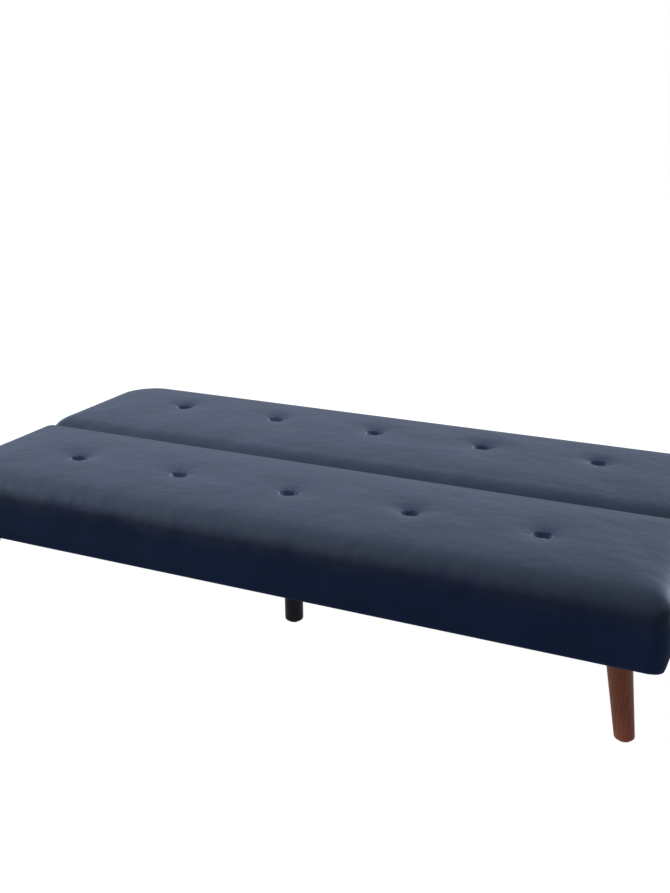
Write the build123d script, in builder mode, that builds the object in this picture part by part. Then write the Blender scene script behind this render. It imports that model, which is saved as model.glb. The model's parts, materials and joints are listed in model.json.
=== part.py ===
from build123d import *
import math
import os

# Fold-flat sofa bed without arms, lying open as a bed. X runs along its length, Y from front to rear
# and Z up from the floor. Sizes are in millimetres.
os.makedirs("parts", exist_ok=True)

# Overall size
bed_length = 1836.0
seat_depth = 428.0
back_depth = 462.0
leg_height = 170.0
seat_thickness = 168.0
back_thickness = 130.0
back_rise = 6.0
seam_gap = 4.0

# Upholstery
seat_crown = 8.0
back_crown = 6.0
crown_inset = 150.0
back_crown_inset = 200.0
back_rear_crown_inset = 120.0
crown_shoulder = 0.35
shoulder_rise = 0.5
edge_steps = 6
edge_last_angle = 81.0
nose_steps = 11
nose_last_angle = 86.0
cover_thickness = 2.0
soft_gap = 0.3
side_draw = 3.0
side_draw_middle = 1.0
rear_draw = 1.0
rear_draw_middle = 0.3
seat_belly = 76.0
seat_front_radius = 52.0
seat_rear_radius = 16.0
end_radius = 42.0
back_rear_radius = 40.0
seat_front_corner = 28.0
seat_rear_corner = 18.0
back_front_corner = 20.0
back_rear_corner = 125.0
least_corner = 12.0
sharp_corner = 1.0
side_padding = 20.0
end_padding = 38.0
seam_padding = 16.0
cover_flange = 15.0

# Tufts, their buttons and twines
tuft_count = 5
tuft_pitch = 310.0
seat_tuft_setback = 230.0
back_tuft_setback = 272.0
tuft_depth = 22.0
tuft_radius = 50.0
tuft_floor_radius = 15.0
tuft_rim_rise = 3.0
tuft_waist_radius = 27.5
tuft_waist_depth = 9.0
button_radius = 12.5
button_edge = 3.0
button_height = 8.0
twine_radius = 1.0
twine_clearance = 0.2
toggle_radius = 14.0
toggle_thickness = 3.0
knot_radius = 2.5
knot_height = 3.0

# Timber frames
rail_thickness = 25.0
seat_rail_height = 90.0
cross_rail_height = 60.0
cross_rail_offset = 463.0
centre_rail_width = 44.0
corner_board_length = 100.0
corner_board_width = 80.0
corner_board_thickness = 18.0
back_rail_height = 60.0
back_side_thickness = 36.0
back_cross_height = 40.0
lower_rail_offset = 46.0
nose_board_setback = 26.0
nose_board_half_height = 26.0
nose_board_end_gap = 7.0
nose_block_width = 40.0
nose_block_inner_x = 260.0
nose_block_end_setback = 120.0

# Springs and felt
wire_radius = 2.0
wire_gap = 0.1
spring_width = 44.0
spring_pitch = 26.0
spring_bend = 0.45
clip_plate = 1.2
clip_length = 9.0
clip_width = 16.0
felt_thickness = 3.0

# Steel under-frame
tube_size = 30.0
tube_wall = 2.0
front_tube_gap = 5.0
rear_tube_end = 300.0
tube_slot_gap = 2.0
cap_plug_depth = 12.0
cap_plug_gap = 0.2
cap_flange = 2.0
back_rest_length = 60.0
back_rest_width = 24.0
back_rest_offsets = (250.0, 700.0)

# Legs
leg_top_radius = 28.0
leg_foot_radius = 21.0
leg_foot_fillet = 4.0
leg_splay_x = 34.0
leg_splay_y = 50.0
front_leg_inset = 78.0
rear_leg_y = 240.0
centre_leg_setback = 217.0
centre_leg_radius = 22.5
centre_leg_fillet = 6.0
glide_radius = 14.0
glide_height = 3.0
plate_width = 50.0
plate_length = 84.0
plate_thickness = 3.0
plate_cut_gap = 2.0
plate_screw_x = 10.0
plate_screw_y = 36.0
plate_screw_radius = 2.2
plate_screw_length = 11.0
screw_head_radius = 4.5
screw_head_height = 2.5

# Bolts and nuts
bolt_radius = 4.0
bolt_clearance = 0.2
bolt_head_radius = 7.0
bolt_head_height = 5.0
nut_radius = 7.0
nut_height = 6.5
bolt_tail = 3.0
leg_bolt_depth = 35.0

# Click-clack hinges
lug_thickness = 5.0
lug_width = 34.0
lug_foot_gap = 2.0
lug_bolt_spacing = 18.0
hinge_gap = 0.1
washer_thickness = 0.9
washer_radius = 14.0
hinge_plate_thickness = 4.0
pin_radius = 6.0
pin_head_radius = 10.0
pin_head_height = 5.0
pin_rivet_radius = 9.0
pin_rivet_height = 3.5
running_gap = 0.05
bush_radius = 8.0
side_rail_setback = 16.0
ratchet_radius = 30.0
notch_floor_radius = 21.0
notch_mouth_radius = 36.0
notch_half_angle = 11.0
sit_angle = 75.0
recline_angle = 40.0
fold_angle = 90.0
plate_arm_start = 18.0
plate_arm_end = 120.0
plate_arm_low = 36.0
plate_arm_high = 6.0
plate_screw_positions = (55.0, 100.0)
plate_screw_drop = 21.0
wood_screw_radius = 2.5
wood_screw_length = 25.0
wood_screw_head_radius = 5.5
wood_screw_head_height = 3.0
pawl_tooth_angle = 235.0
pawl_tooth_gap = 0.8
pawl_tooth_half = 2.5
pawl_arm_radius = 41.0
pawl_arm_half = 3.5
pawl_boss_radius = 7.0
pawl_pin_radius = 3.0
pawl_pin_head_radius = 5.0
pawl_pin_head_height = 1.8
pawl_pin_y = 8.0
pawl_pin_drop = 50.0
pawl_spring_thickness = 1.0
pawl_spring_gap = 0.5
pawl_spring_rivet = 2.5
pawl_spring_y = -13.0
pawl_spring_drop = 54.0
pocket_clear = 1.0
pocket_rise = 36.0
pocket_margin = 7.0
slot_margin = 3.0
slot_angle_margin = 8.0

# Places that follow from the sizes
half_length = bed_length / 2
seam_y = (seat_depth - back_depth) / 2
seat_front = seam_y - seat_depth
seat_rear = seam_y - seam_gap / 2
back_front = seam_y + seam_gap / 2
back_rear = seam_y + back_depth
seat_bottom = leg_height
seat_top = seat_bottom + seat_thickness
seat_cap = seat_top + seat_crown
back_top = seat_top + back_rise
back_cap = back_top + back_crown
back_bottom = back_top - back_thickness
nose_radius = back_thickness / 2
pivot_y = back_front + nose_radius
pivot_z = back_top - nose_radius
seat_tuft_y = seam_y - seat_tuft_setback
centre_leg_y = seam_y - centre_leg_setback
back_tuft_y = seam_y + back_tuft_setback
tuft_xs = [(k - (tuft_count - 1) / 2) * tuft_pitch for k in range(tuft_count)]
spring_xs = [(k + 0.5 - tuft_count) * tuft_pitch / 2 for k in range(2 * tuft_count)]
seat_button_z = seat_cap - tuft_depth
back_button_z = back_cap - tuft_depth
form_inset = cover_thickness + soft_gap
twine_hole = twine_radius + twine_clearance

frame_half = half_length - end_padding
seat_frame_front = seat_front + side_padding
seat_frame_rear = seat_rear - seam_padding
seat_rail_bottom = seat_bottom + cover_thickness
seat_rail_top = seat_rail_bottom + seat_rail_height
back_rail_bottom = back_bottom + cover_thickness
back_rail_top = back_rail_bottom + back_rail_height
back_frame_rear = back_rear - side_padding
clip_bore = wire_radius + wire_gap
seat_spring_z = seat_rail_top + clip_plate + clip_bore
back_spring_z = back_rail_top + clip_plate + clip_bore
clip_rise = clip_bore + clip_plate
seat_felt_z = seat_spring_z + clip_rise + soft_gap
back_felt_z = back_spring_z + clip_rise + soft_gap
seat_deck_z = seat_felt_z + felt_thickness + soft_gap
back_deck_z = back_felt_z + felt_thickness + soft_gap

back_side_x = frame_half - back_side_thickness
nose_block_offsets = (nose_block_inner_x, frame_half - nose_block_end_setback)
hinge_plate_x = back_side_x - hinge_plate_thickness
lug_outer_x = hinge_plate_x - hinge_gap - washer_thickness
lug_x = lug_outer_x - lug_thickness
tube_x = lug_x - tube_size / 2
tube_bottom = seat_bottom + plate_thickness
tube_top = tube_bottom + tube_size
tube_mid = tube_bottom + tube_size / 2
tube_inner = tube_size - 2 * tube_wall
tube_front = seat_frame_front + rail_thickness + front_tube_gap
frame_corner = back_rear_corner - side_padding
corner_x = frame_half - frame_corner
corner_y = back_frame_rear - frame_corner
lower_rail_y = pivot_y + lower_rail_offset
side_rail_front = pivot_y + side_rail_setback
nose_board_y = back_front + nose_board_setback
pocket_inner_x = lug_x - pin_head_height - pocket_margin
pocket_outer_x = hinge_plate_x + hinge_plate_thickness + hinge_gap + pin_rivet_height + pocket_clear
pocket_radius = nose_radius - pocket_clear
nose_board_half = pocket_inner_x - nose_board_end_gap
front_leg_y = seat_front + front_leg_inset
board_bolt_ys = (
    seat_frame_front + rail_thickness + corner_board_length / 2,
    seat_frame_rear - rail_thickness - corner_board_length / 2,
)
front_leg_tops = [(side * tube_x, front_leg_y) for side in (-1, 1)]
rear_leg_tops = [(side * tube_x, rear_leg_y) for side in (-1, 1)]
plate_centres = front_leg_tops + rear_leg_tops + [(0, centre_leg_y)]
lug_bolt_ys = (pivot_y - lug_bolt_spacing / 2, pivot_y + lug_bolt_spacing / 2)


# Shared outlines and forms


def plan_outline(half_x, y_front, y_rear, front_corner, rear_corner):
    # Four sides and four round corners, drawn into the open line block.
    Line((-half_x + front_corner, y_front), (half_x - front_corner, y_front))
    CenterArc((half_x - front_corner, y_front + front_corner), front_corner, -90, 90)
    Line((half_x, y_front + front_corner), (half_x, y_rear - rear_corner))
    CenterArc((half_x - rear_corner, y_rear - rear_corner), rear_corner, 0, 90)
    Line((half_x - rear_corner, y_rear), (-half_x + rear_corner, y_rear))
    CenterArc((-half_x + rear_corner, y_rear - rear_corner), rear_corner, 90, 90)
    Line((-half_x, y_rear - rear_corner), (-half_x, y_front + front_corner))
    CenterArc((-half_x + front_corner, y_front + front_corner), front_corner, 180, 90)


def edge_inset(z, top, radius):
    # How far a rounded top edge of this radius has come in at height z.
    rise = max(z - (top - radius), 0)
    return radius - math.sqrt(max(radius**2 - rise**2, 0))


def shoulder(radius, cap):
    return radius + crown_shoulder * (cap - radius)


def tuft_hollow(inset):
    # The sunk hollow round a button: a small flat floor with sides that flare out to the surface.
    floor = tuft_floor_radius + inset
    waist = tuft_waist_radius + inset
    rim = tuft_radius + inset
    with BuildPart() as hollow:
        with BuildSketch(Plane.XZ):
            with BuildLine():
                Polyline((0, tuft_depth), (0, -tuft_depth), (floor, -tuft_depth))
                ThreePointArc((floor, -tuft_depth), (waist, -tuft_waist_depth), (rim, tuft_rim_rise))
                Polyline((rim, tuft_rim_rise), (rim, tuft_depth), (0, tuft_depth))
            make_face()
        revolve(axis=Axis.Z)
    return hollow.part


def seat_form(inset):
    # The seat's upholstered form: sides drawn in at the bottom, a full front edge and a crowned top.
    middle = seat_bottom + seat_belly
    sections = [
        (seat_bottom + inset, side_draw, side_draw, rear_draw),
        ((seat_bottom + middle) / 2, side_draw_middle, side_draw_middle, rear_draw_middle),
        (middle, 0, 0, 0),
    ]
    for step in range(edge_steps + 1):
        sine = math.sin(math.radians(edge_last_angle * step / edge_steps))
        z = seat_top - seat_front_radius * (1 - sine)
        end = edge_inset(z, seat_top, end_radius)
        front = edge_inset(z, seat_top, seat_front_radius)
        rear = edge_inset(z, seat_top, seat_rear_radius)
        sections.append((z - inset * sine, end, front, rear))
    shoulder_z = seat_top + seat_crown * shoulder_rise - inset
    radii = (end_radius, seat_front_radius, seat_rear_radius)
    sections.append((shoulder_z, *[shoulder(radius, crown_inset) for radius in radii]))
    sections.append((seat_cap - inset, crown_inset, crown_inset, crown_inset))
    hollow = tuft_hollow(inset)
    with BuildPart() as form:
        for z, end, front, rear in sections:
            with BuildSketch(Plane.XY.offset(z)):
                with BuildLine():
                    plan_outline(
                        half_length - end - inset,
                        seat_front + front + inset,
                        seat_rear - rear - inset,
                        max(seat_front_corner - front / 2, least_corner),
                        max(seat_rear_corner - rear / 2, least_corner),
                    )
                make_face()
        loft(ruled=True)
        with Locations(*[(x, seat_tuft_y, seat_cap - inset) for x in tuft_xs]):
            add(hollow, mode=Mode.SUBTRACT)
    return form.part


def back_form(inset):
    # The back's upholstered form: a half-round nose about the hinge line, wide round corners at the
    # far side, sides drawn in at the bottom and a crowned top.
    sections = []
    for step in range(nose_steps + 1):
        turn = math.radians(-90 + (90 + nose_last_angle) * step / nose_steps)
        z = pivot_z + nose_radius * math.sin(turn)
        draw = side_draw * min(math.sin(turn), 0) ** 2
        end = draw + edge_inset(z, back_top, end_radius)
        rear = draw + edge_inset(z, back_top, back_rear_radius)
        front = nose_radius - (nose_radius - inset) * math.cos(turn)
        sections.append((pivot_z + (nose_radius - inset) * math.sin(turn), end, front, rear))
    sections.append(
        (
            back_top + back_crown * shoulder_rise - inset,
            shoulder(end_radius, crown_inset),
            shoulder(nose_radius, back_crown_inset),
            shoulder(back_rear_radius, back_rear_crown_inset),
        )
    )
    sections.append((back_cap - inset, crown_inset, back_crown_inset, back_rear_crown_inset))
    hollow = tuft_hollow(inset)
    with BuildPart() as form:
        for z, end, front, rear in sections:
            with BuildSketch(Plane.XY.offset(z)):
                with BuildLine():
                    plan_outline(
                        half_length - end - inset,
                        back_front + front,
                        back_rear - rear - inset,
                        back_front_corner,
                        max(back_rear_corner - rear - inset, least_corner),
                    )
                make_face()
        loft(ruled=True)
        with Locations(*[(x, back_tuft_y, back_cap - inset) for x in tuft_xs]):
            add(hollow, mode=Mode.SUBTRACT)
    return form.part


def zigzag_spring(start_y, end_y, z):
    # One zigzag wire spring from rail to rail.
    bars = round((end_y - start_y) / spring_pitch)
    step = (end_y - start_y) / bars
    points = []
    for k in range(bars + 1):
        side = 1 if k % 2 else -1
        points.append((side * spring_width / 2, start_y + k * step, z))
        points.append((-side * spring_width / 2, start_y + k * step, z))
    with BuildPart() as spring:
        with BuildLine():
            path = FilletPolyline(*points, radius=step * spring_bend)
        with BuildSketch(Plane(origin=path @ 0, z_dir=path % 0)):
            Circle(wire_radius)
        sweep()
    return spring.part


def spring_clip(y, toward, z):
    # A bent strip that hooks over the end bar of a spring and opens towards its middle.
    tip = y + toward * clip_length
    inner = y - toward * clip_bore
    outer = y - toward * clip_rise
    with BuildPart() as clip:
        with BuildSketch(Plane.YZ.offset(-clip_width / 2)):
            with BuildLine():
                Polyline(
                    (tip, z - clip_rise),
                    (outer, z - clip_rise),
                    (outer, z + clip_rise),
                    (tip, z + clip_rise),
                    (tip, z + clip_bore),
                    (inner, z + clip_bore),
                    (inner, z - clip_bore),
                    (tip, z - clip_bore),
                    close=True,
                )
            make_face()
        extrude(amount=clip_width)
    return clip.part


def covered_button():
    # A low dome, part of a ball, on a short straight edge.
    rise = button_height - button_edge
    ball = (button_radius**2 + rise**2) / (2 * rise)
    centre = button_height - ball
    start = math.degrees(math.atan2(button_edge - centre, button_radius))
    with BuildPart() as button:
        with BuildSketch(Plane.XZ):
            with BuildLine():
                Polyline((0, button_height), (0, 0), (button_radius, 0), (button_radius, button_edge))
                CenterArc((0, centre), ball, start, 90 - start)
            make_face()
        revolve(axis=Axis.Z)
    return button.part


def button_twine(length):
    # A straight twine that hangs below a button, with a knot under its toggle.
    with BuildPart() as twine:
        with BuildSketch():
            Circle(twine_radius)
        extrude(amount=-length)
        with BuildSketch(Plane.XY.offset(-length)):
            Circle(knot_radius)
        extrude(amount=-knot_height)
    return twine.part


def twine_toggle():
    with BuildPart() as toggle:
        with BuildSketch():
            Circle(toggle_radius)
            Circle(twine_hole, mode=Mode.SUBTRACT)
        extrude(amount=-toggle_thickness)
    return toggle.part


def splayed_leg(top_y, foot_y):
    # A tapered round leg on the right side, leaning outwards, cut level at both ends.
    with BuildPart() as leg:
        with BuildSketch(Plane.XY.offset(glide_height)):
            with Locations((tube_x + leg_splay_x, foot_y)):
                Circle(leg_foot_radius)
        with BuildSketch(Plane.XY.offset(leg_height)):
            with Locations((tube_x, top_y)):
                Circle(leg_top_radius)
        loft()
        fillet(leg.edges().sort_by(Axis.Z)[0], radius=leg_foot_fillet)
        with BuildSketch(Plane.XY.offset(leg_height)):
            with Locations((tube_x, top_y)):
                Circle(bolt_radius)
        extrude(amount=-leg_bolt_depth, mode=Mode.SUBTRACT)
    return leg.part


# Seat section

seat_outer_form = seat_form(0)
seat_inner_form = seat_form(cover_thickness)
seat_foam_form = seat_form(form_inset)
seat_spring_front = seat_frame_front + rail_thickness / 2
seat_spring_rear = seat_frame_rear - rail_thickness / 2
seat_open_half = frame_half - cover_flange
seat_open_front = seat_frame_front + cover_flange
seat_open_rear = seat_frame_rear - cover_flange
seat_open_depth = seat_open_rear - seat_open_front
seat_open_mid = (seat_open_front + seat_open_rear) / 2
seat_frame_mid = (seat_frame_front + seat_frame_rear) / 2
seat_frame_depth = seat_frame_rear - seat_frame_front
tube_slot = tube_size + 2 * tube_slot_gap
tube_slot_places = [(side * tube_x, tube_mid) for side in (-1, 1)]

with BuildPart() as seat_cover:
    add(seat_outer_form)
    add(seat_inner_form, mode=Mode.SUBTRACT)
    # The cover is turned under the frame and stapled, leaving the middle open.
    with BuildSketch(Plane.XY.offset(seat_bottom)):
        with Locations((0, seat_open_mid)):
            Rectangle(2 * seat_open_half, seat_open_depth)
    extrude(amount=cover_thickness, mode=Mode.SUBTRACT)
    with BuildSketch(Plane.XY.offset(seat_button_z)):
        with Locations(*[(x, seat_tuft_y) for x in tuft_xs]):
            Circle(twine_hole)
    extrude(amount=-tuft_depth, mode=Mode.SUBTRACT)
    # Ways out for the two tubes of the under-frame.
    with BuildSketch(Plane.XZ.offset(-seat_rear)):
        with Locations(*tube_slot_places):
            Rectangle(tube_slot, tube_slot)
    extrude(amount=seam_padding, mode=Mode.SUBTRACT)
seat_cover.part.label = "seat_cover"
export_step(seat_cover.part, "parts/seat_cover.step")

with BuildPart() as seat_foam:
    add(seat_foam_form)
    with BuildSketch(Plane.XY.offset(seat_bottom)):
        with Locations((0, seat_frame_mid)):
            Rectangle(2 * (frame_half + soft_gap), seat_frame_depth + 2 * soft_gap)
    extrude(amount=seat_deck_z - seat_bottom, mode=Mode.SUBTRACT)
    with BuildSketch(Plane.XY.offset(seat_cap)):
        with Locations(*[(x, seat_tuft_y) for x in tuft_xs]):
            Circle(twine_hole)
    extrude(amount=seat_deck_z - seat_cap, mode=Mode.SUBTRACT)
    with BuildSketch(Plane.XZ.offset(-seat_rear)):
        with Locations(*tube_slot_places):
            Rectangle(tube_slot, tube_slot)
    extrude(amount=seam_padding, mode=Mode.SUBTRACT)
seat_foam.part.label = "seat_foam"
export_step(seat_foam.part, "parts/seat_foam.step")

with BuildPart() as seat_felt:
    with BuildSketch(Plane.XY.offset(seat_felt_z)):
        with Locations((0, seat_frame_mid)):
            Rectangle(2 * frame_half, seat_frame_depth)
        with Locations(*[(x, seat_tuft_y) for x in tuft_xs]):
            Circle(twine_hole, mode=Mode.SUBTRACT)
    extrude(amount=felt_thickness)
seat_felt.part.label = "seat_felt"
export_step(seat_felt.part, "parts/seat_felt.step")

seat_spring = zigzag_spring(seat_spring_front, seat_spring_rear, seat_spring_z)
with BuildPart() as seat_springs:
    with Locations(*[(x, 0, 0) for x in spring_xs]):
        add(seat_spring)
seat_springs.part.label = "seat_springs"
export_step(seat_springs.part, "parts/seat_springs.step")

seat_front_clip = spring_clip(seat_spring_front, 1, seat_spring_z)
seat_rear_clip = spring_clip(seat_spring_rear, -1, seat_spring_z)
with BuildPart() as seat_spring_clips:
    with Locations(*[(x, 0, 0) for x in spring_xs]):
        add(seat_front_clip)
        add(seat_rear_clip)
seat_spring_clips.part.label = "seat_spring_clips"
export_step(seat_spring_clips.part, "parts/seat_spring_clips.step")

with BuildPart() as seat_front_rail:
    with BuildSketch(Plane.XY.offset(seat_rail_bottom)):
        with Locations((0, seat_spring_front)):
            Rectangle(2 * frame_half, rail_thickness)
    extrude(amount=seat_rail_height)
    # The front leg plates are let into the bottom of the rail and screwed to it.
    with BuildSketch(Plane.XY.offset(seat_rail_bottom)):
        with Locations(*front_leg_tops):
            Rectangle(plate_width, plate_length)
    extrude(amount=leg_height + plate_thickness - seat_rail_bottom, mode=Mode.SUBTRACT)
    with BuildSketch(Plane.XY.offset(leg_height + plate_thickness)):
        with Locations(*front_leg_tops):
            with GridLocations(2 * plate_screw_x, 2 * plate_screw_y, 2, 2):
                Circle(plate_screw_radius)
    extrude(amount=plate_screw_length - plate_thickness, mode=Mode.SUBTRACT)
seat_front_rail.part.label = "seat_front_rail"
export_step(seat_front_rail.part, "parts/seat_front_rail.step")

with BuildPart() as seat_rear_rail:
    with BuildSketch(Plane.XY.offset(seat_rail_bottom)):
        with Locations((0, seat_spring_rear)):
            Rectangle(2 * frame_half, rail_thickness)
    extrude(amount=seat_rail_height)
    with BuildSketch(Plane.XZ.offset(-seat_frame_rear)):
        with Locations(*tube_slot_places):
            Rectangle(tube_slot, tube_slot)
    extrude(amount=rail_thickness, mode=Mode.SUBTRACT)
seat_rear_rail.part.label = "seat_rear_rail"
export_step(seat_rear_rail.part, "parts/seat_rear_rail.step")

seat_inner_depth = seat_frame_depth - 2 * rail_thickness
with BuildPart() as seat_side_rails:
    with BuildSketch(Plane.XY.offset(seat_rail_bottom)):
        with Locations(*[(side * (frame_half - rail_thickness / 2), seat_frame_mid) for side in (-1, 1)]):
            Rectangle(rail_thickness, seat_inner_depth)
    extrude(amount=seat_rail_height)
seat_side_rails.part.label = "seat_side_rails"
export_step(seat_side_rails.part, "parts/seat_side_rails.step")

with BuildPart() as seat_centre_rail:
    with BuildSketch(Plane.XY.offset(tube_bottom)):
        with Locations((0, seat_frame_mid)):
            Rectangle(centre_rail_width, seat_inner_depth)
    extrude(amount=cross_rail_height)
    with BuildSketch(Plane.XY.offset(tube_bottom)):
        with Locations((0, centre_leg_y)):
            Circle(bolt_radius)
    extrude(amount=bolt_tail + nut_height + tube_wall, mode=Mode.SUBTRACT)
    with BuildSketch(Plane.XY.offset(tube_bottom)):
        with Locations((0, centre_leg_y)):
            with GridLocations(2 * plate_screw_x, 2 * plate_screw_y, 2, 2):
                Circle(plate_screw_radius)
    extrude(amount=plate_screw_length - plate_thickness, mode=Mode.SUBTRACT)
seat_centre_rail.part.label = "seat_centre_rail"
export_step(seat_centre_rail.part, "parts/seat_centre_rail.step")

with BuildPart() as seat_cross_rails:
    with BuildSketch(Plane.XY.offset(tube_bottom)):
        with Locations((-cross_rail_offset, seat_frame_mid), (cross_rail_offset, seat_frame_mid)):
            Rectangle(rail_thickness, seat_inner_depth)
    extrude(amount=cross_rail_height)
seat_cross_rails.part.label = "seat_cross_rails"
export_step(seat_cross_rails.part, "parts/seat_cross_rails.step")

board_x = frame_half - rail_thickness - corner_board_width / 2
with BuildPart() as seat_corner_boards:
    with BuildSketch(Plane.XY.offset(tube_top)):
        with Locations(*[(side * board_x, y) for side in (-1, 1) for y in board_bolt_ys]):
            Rectangle(corner_board_width, corner_board_length)
        with Locations(*[(side * tube_x, y) for side in (-1, 1) for y in board_bolt_ys]):
            Circle(bolt_radius + bolt_clearance, mode=Mode.SUBTRACT)
    extrude(amount=corner_board_thickness)
seat_corner_boards.part.label = "seat_corner_boards"
export_step(seat_corner_boards.part, "parts/seat_corner_boards.step")

button = covered_button()
toggle = twine_toggle()
with BuildPart() as seat_buttons:
    with Locations(*[(x, seat_tuft_y, seat_button_z) for x in tuft_xs]):
        add(button)
seat_buttons.part.label = "seat_buttons"
export_step(seat_buttons.part, "parts/seat_buttons.step")

seat_twine = button_twine(seat_button_z - seat_felt_z + toggle_thickness)
with BuildPart() as seat_button_twines:
    with Locations(*[(x, seat_tuft_y, seat_button_z) for x in tuft_xs]):
        add(seat_twine)
seat_button_twines.part.label = "seat_button_twines"
export_step(seat_button_twines.part, "parts/seat_button_twines.step")

with BuildPart() as seat_twine_toggles:
    with Locations(*[(x, seat_tuft_y, seat_felt_z) for x in tuft_xs]):
        add(toggle)
seat_twine_toggles.part.label = "seat_twine_toggles"
export_step(seat_twine_toggles.part, "parts/seat_twine_toggles.step")

with BuildPart() as seat_dust_cover:
    with BuildSketch(Plane.XY.offset(seat_bottom)):
        with Locations((0, seat_open_mid)):
            Rectangle(2 * (seat_open_half - soft_gap), seat_open_depth - 2 * soft_gap)
        with Locations(*front_leg_tops, (0, centre_leg_y)):
            Rectangle(plate_width + plate_cut_gap, plate_length + plate_cut_gap, mode=Mode.SUBTRACT)
    extrude(amount=cover_thickness)
seat_dust_cover.part.label = "seat_dust_cover"
export_step(seat_dust_cover.part, "parts/seat_dust_cover.step")

# Steel under-frame

tube_length = rear_tube_end - tube_front
with BuildPart() as base_tube_right:
    with BuildSketch(Plane.XZ.offset(-tube_front)):
        with Locations((tube_x, tube_mid)):
            Rectangle(tube_size, tube_size)
            Rectangle(tube_inner, tube_inner, mode=Mode.SUBTRACT)
    extrude(amount=-tube_length)
    # Leg bolts and plate screws come up through the bottom wall.
    with BuildSketch(Plane.XY.offset(tube_bottom)):
        with Locations((tube_x, front_leg_y), (tube_x, rear_leg_y)):
            Circle(bolt_radius + bolt_clearance)
            with GridLocations(2 * plate_screw_x, 2 * plate_screw_y, 2, 2):
                Circle(plate_screw_radius)
    extrude(amount=tube_wall, mode=Mode.SUBTRACT)
    with BuildSketch(Plane.XY.offset(tube_top)):
        with Locations(*[(tube_x, y) for y in board_bolt_ys]):
            Circle(bolt_radius + bolt_clearance)
    extrude(amount=-tube_wall, mode=Mode.SUBTRACT)
    with BuildSketch(Plane.YZ.offset(tube_x - tube_size / 2)):
        with Locations(*[(y, tube_mid) for y in lug_bolt_ys]):
            Circle(bolt_radius + bolt_clearance)
    extrude(amount=tube_size, mode=Mode.SUBTRACT)
base_tube_right.part.label = "base_tube_right"
export_step(base_tube_right.part, "parts/base_tube_right.step")

with BuildPart() as base_tube_left:
    mirror(base_tube_right.part, about=Plane.YZ)
base_tube_left.part.label = "base_tube_left"
export_step(base_tube_left.part, "parts/base_tube_left.step")

rear_tube_half = tube_x - tube_size / 2
rear_tube_y = rear_tube_end - tube_size / 2
with BuildPart() as base_rear_tube:
    with BuildSketch(Plane.YZ.offset(-rear_tube_half)):
        with Locations((rear_tube_y, tube_mid)):
            Rectangle(tube_size, tube_size)
            Rectangle(tube_inner, tube_inner, mode=Mode.SUBTRACT)
    extrude(amount=2 * rear_tube_half)
base_rear_tube.part.label = "base_rear_tube"
export_step(base_rear_tube.part, "parts/base_rear_tube.step")

plug_size = tube_inner - 2 * cap_plug_gap
with BuildPart() as base_end_caps:
    with BuildSketch(Plane.XZ.offset(-tube_front)):
        with Locations(*tube_slot_places):
            Rectangle(tube_size, tube_size)
    extrude(amount=cap_flange)
    with BuildSketch(Plane.XZ.offset(-tube_front)):
        with Locations(*tube_slot_places):
            Rectangle(plug_size, plug_size)
    extrude(amount=-cap_plug_depth)
    with BuildSketch(Plane.XZ.offset(-rear_tube_end)):
        with Locations(*tube_slot_places):
            Rectangle(tube_size, tube_size)
    extrude(amount=-cap_flange)
    with BuildSketch(Plane.XZ.offset(-rear_tube_end)):
        with Locations(*tube_slot_places):
            Rectangle(plug_size, plug_size)
    extrude(amount=cap_plug_depth)
base_end_caps.part.label = "base_end_caps"
export_step(base_end_caps.part, "parts/base_end_caps.step")

board_bolt_places = [(side * tube_x, y) for side in (-1, 1) for y in board_bolt_ys]
board_nut_top = tube_top - tube_wall
board_top = tube_top + corner_board_thickness
with BuildPart() as base_bolts:
    with BuildSketch(Plane.XY.offset(board_top)):
        with Locations(*board_bolt_places):
            Circle(bolt_head_radius)
    extrude(amount=bolt_head_height)
    with BuildSketch(Plane.XY.offset(board_top)):
        with Locations(*board_bolt_places):
            Circle(bolt_radius)
    extrude(amount=board_nut_top - nut_height - bolt_tail - board_top)
base_bolts.part.label = "base_bolts"
export_step(base_bolts.part, "parts/base_bolts.step")

# Rubber rests that carry the flat back.
with BuildPart() as back_rests:
    with BuildSketch(Plane.XY.offset(tube_top)):
        with Locations(*[(side * x, rear_tube_y) for side in (-1, 1) for x in back_rest_offsets]):
            Rectangle(back_rest_length, back_rest_width)
    extrude(amount=back_bottom - soft_gap - tube_top)
back_rests.part.label = "back_rests"
export_step(back_rests.part, "parts/back_rests.step")

# Legs

front_leg = splayed_leg(front_leg_y, front_leg_y - leg_splay_y)
rear_leg = splayed_leg(rear_leg_y, rear_leg_y + leg_splay_y)
with BuildPart() as leg_front_right:
    add(front_leg)
leg_front_right.part.label = "leg_front_right"
export_step(leg_front_right.part, "parts/leg_front_right.step")

with BuildPart() as leg_front_left:
    mirror(front_leg, about=Plane.YZ)
leg_front_left.part.label = "leg_front_left"
export_step(leg_front_left.part, "parts/leg_front_left.step")

with BuildPart() as leg_rear_right:
    add(rear_leg)
leg_rear_right.part.label = "leg_rear_right"
export_step(leg_rear_right.part, "parts/leg_rear_right.step")

with BuildPart() as leg_rear_left:
    mirror(rear_leg, about=Plane.YZ)
leg_rear_left.part.label = "leg_rear_left"
export_step(leg_rear_left.part, "parts/leg_rear_left.step")

with BuildPart() as centre_leg:
    with BuildSketch(Plane.XY.offset(glide_height)):
        with Locations((0, centre_leg_y)):
            Circle(centre_leg_radius)
    extrude(amount=leg_height - glide_height)
    fillet(centre_leg.edges().sort_by(Axis.Z)[0], radius=centre_leg_fillet)
    with BuildSketch(Plane.XY.offset(leg_height)):
        with Locations((0, centre_leg_y)):
            Circle(bolt_radius)
    extrude(amount=-leg_bolt_depth, mode=Mode.SUBTRACT)
centre_leg.part.label = "centre_leg"
export_step(centre_leg.part, "parts/centre_leg.step")

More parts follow.
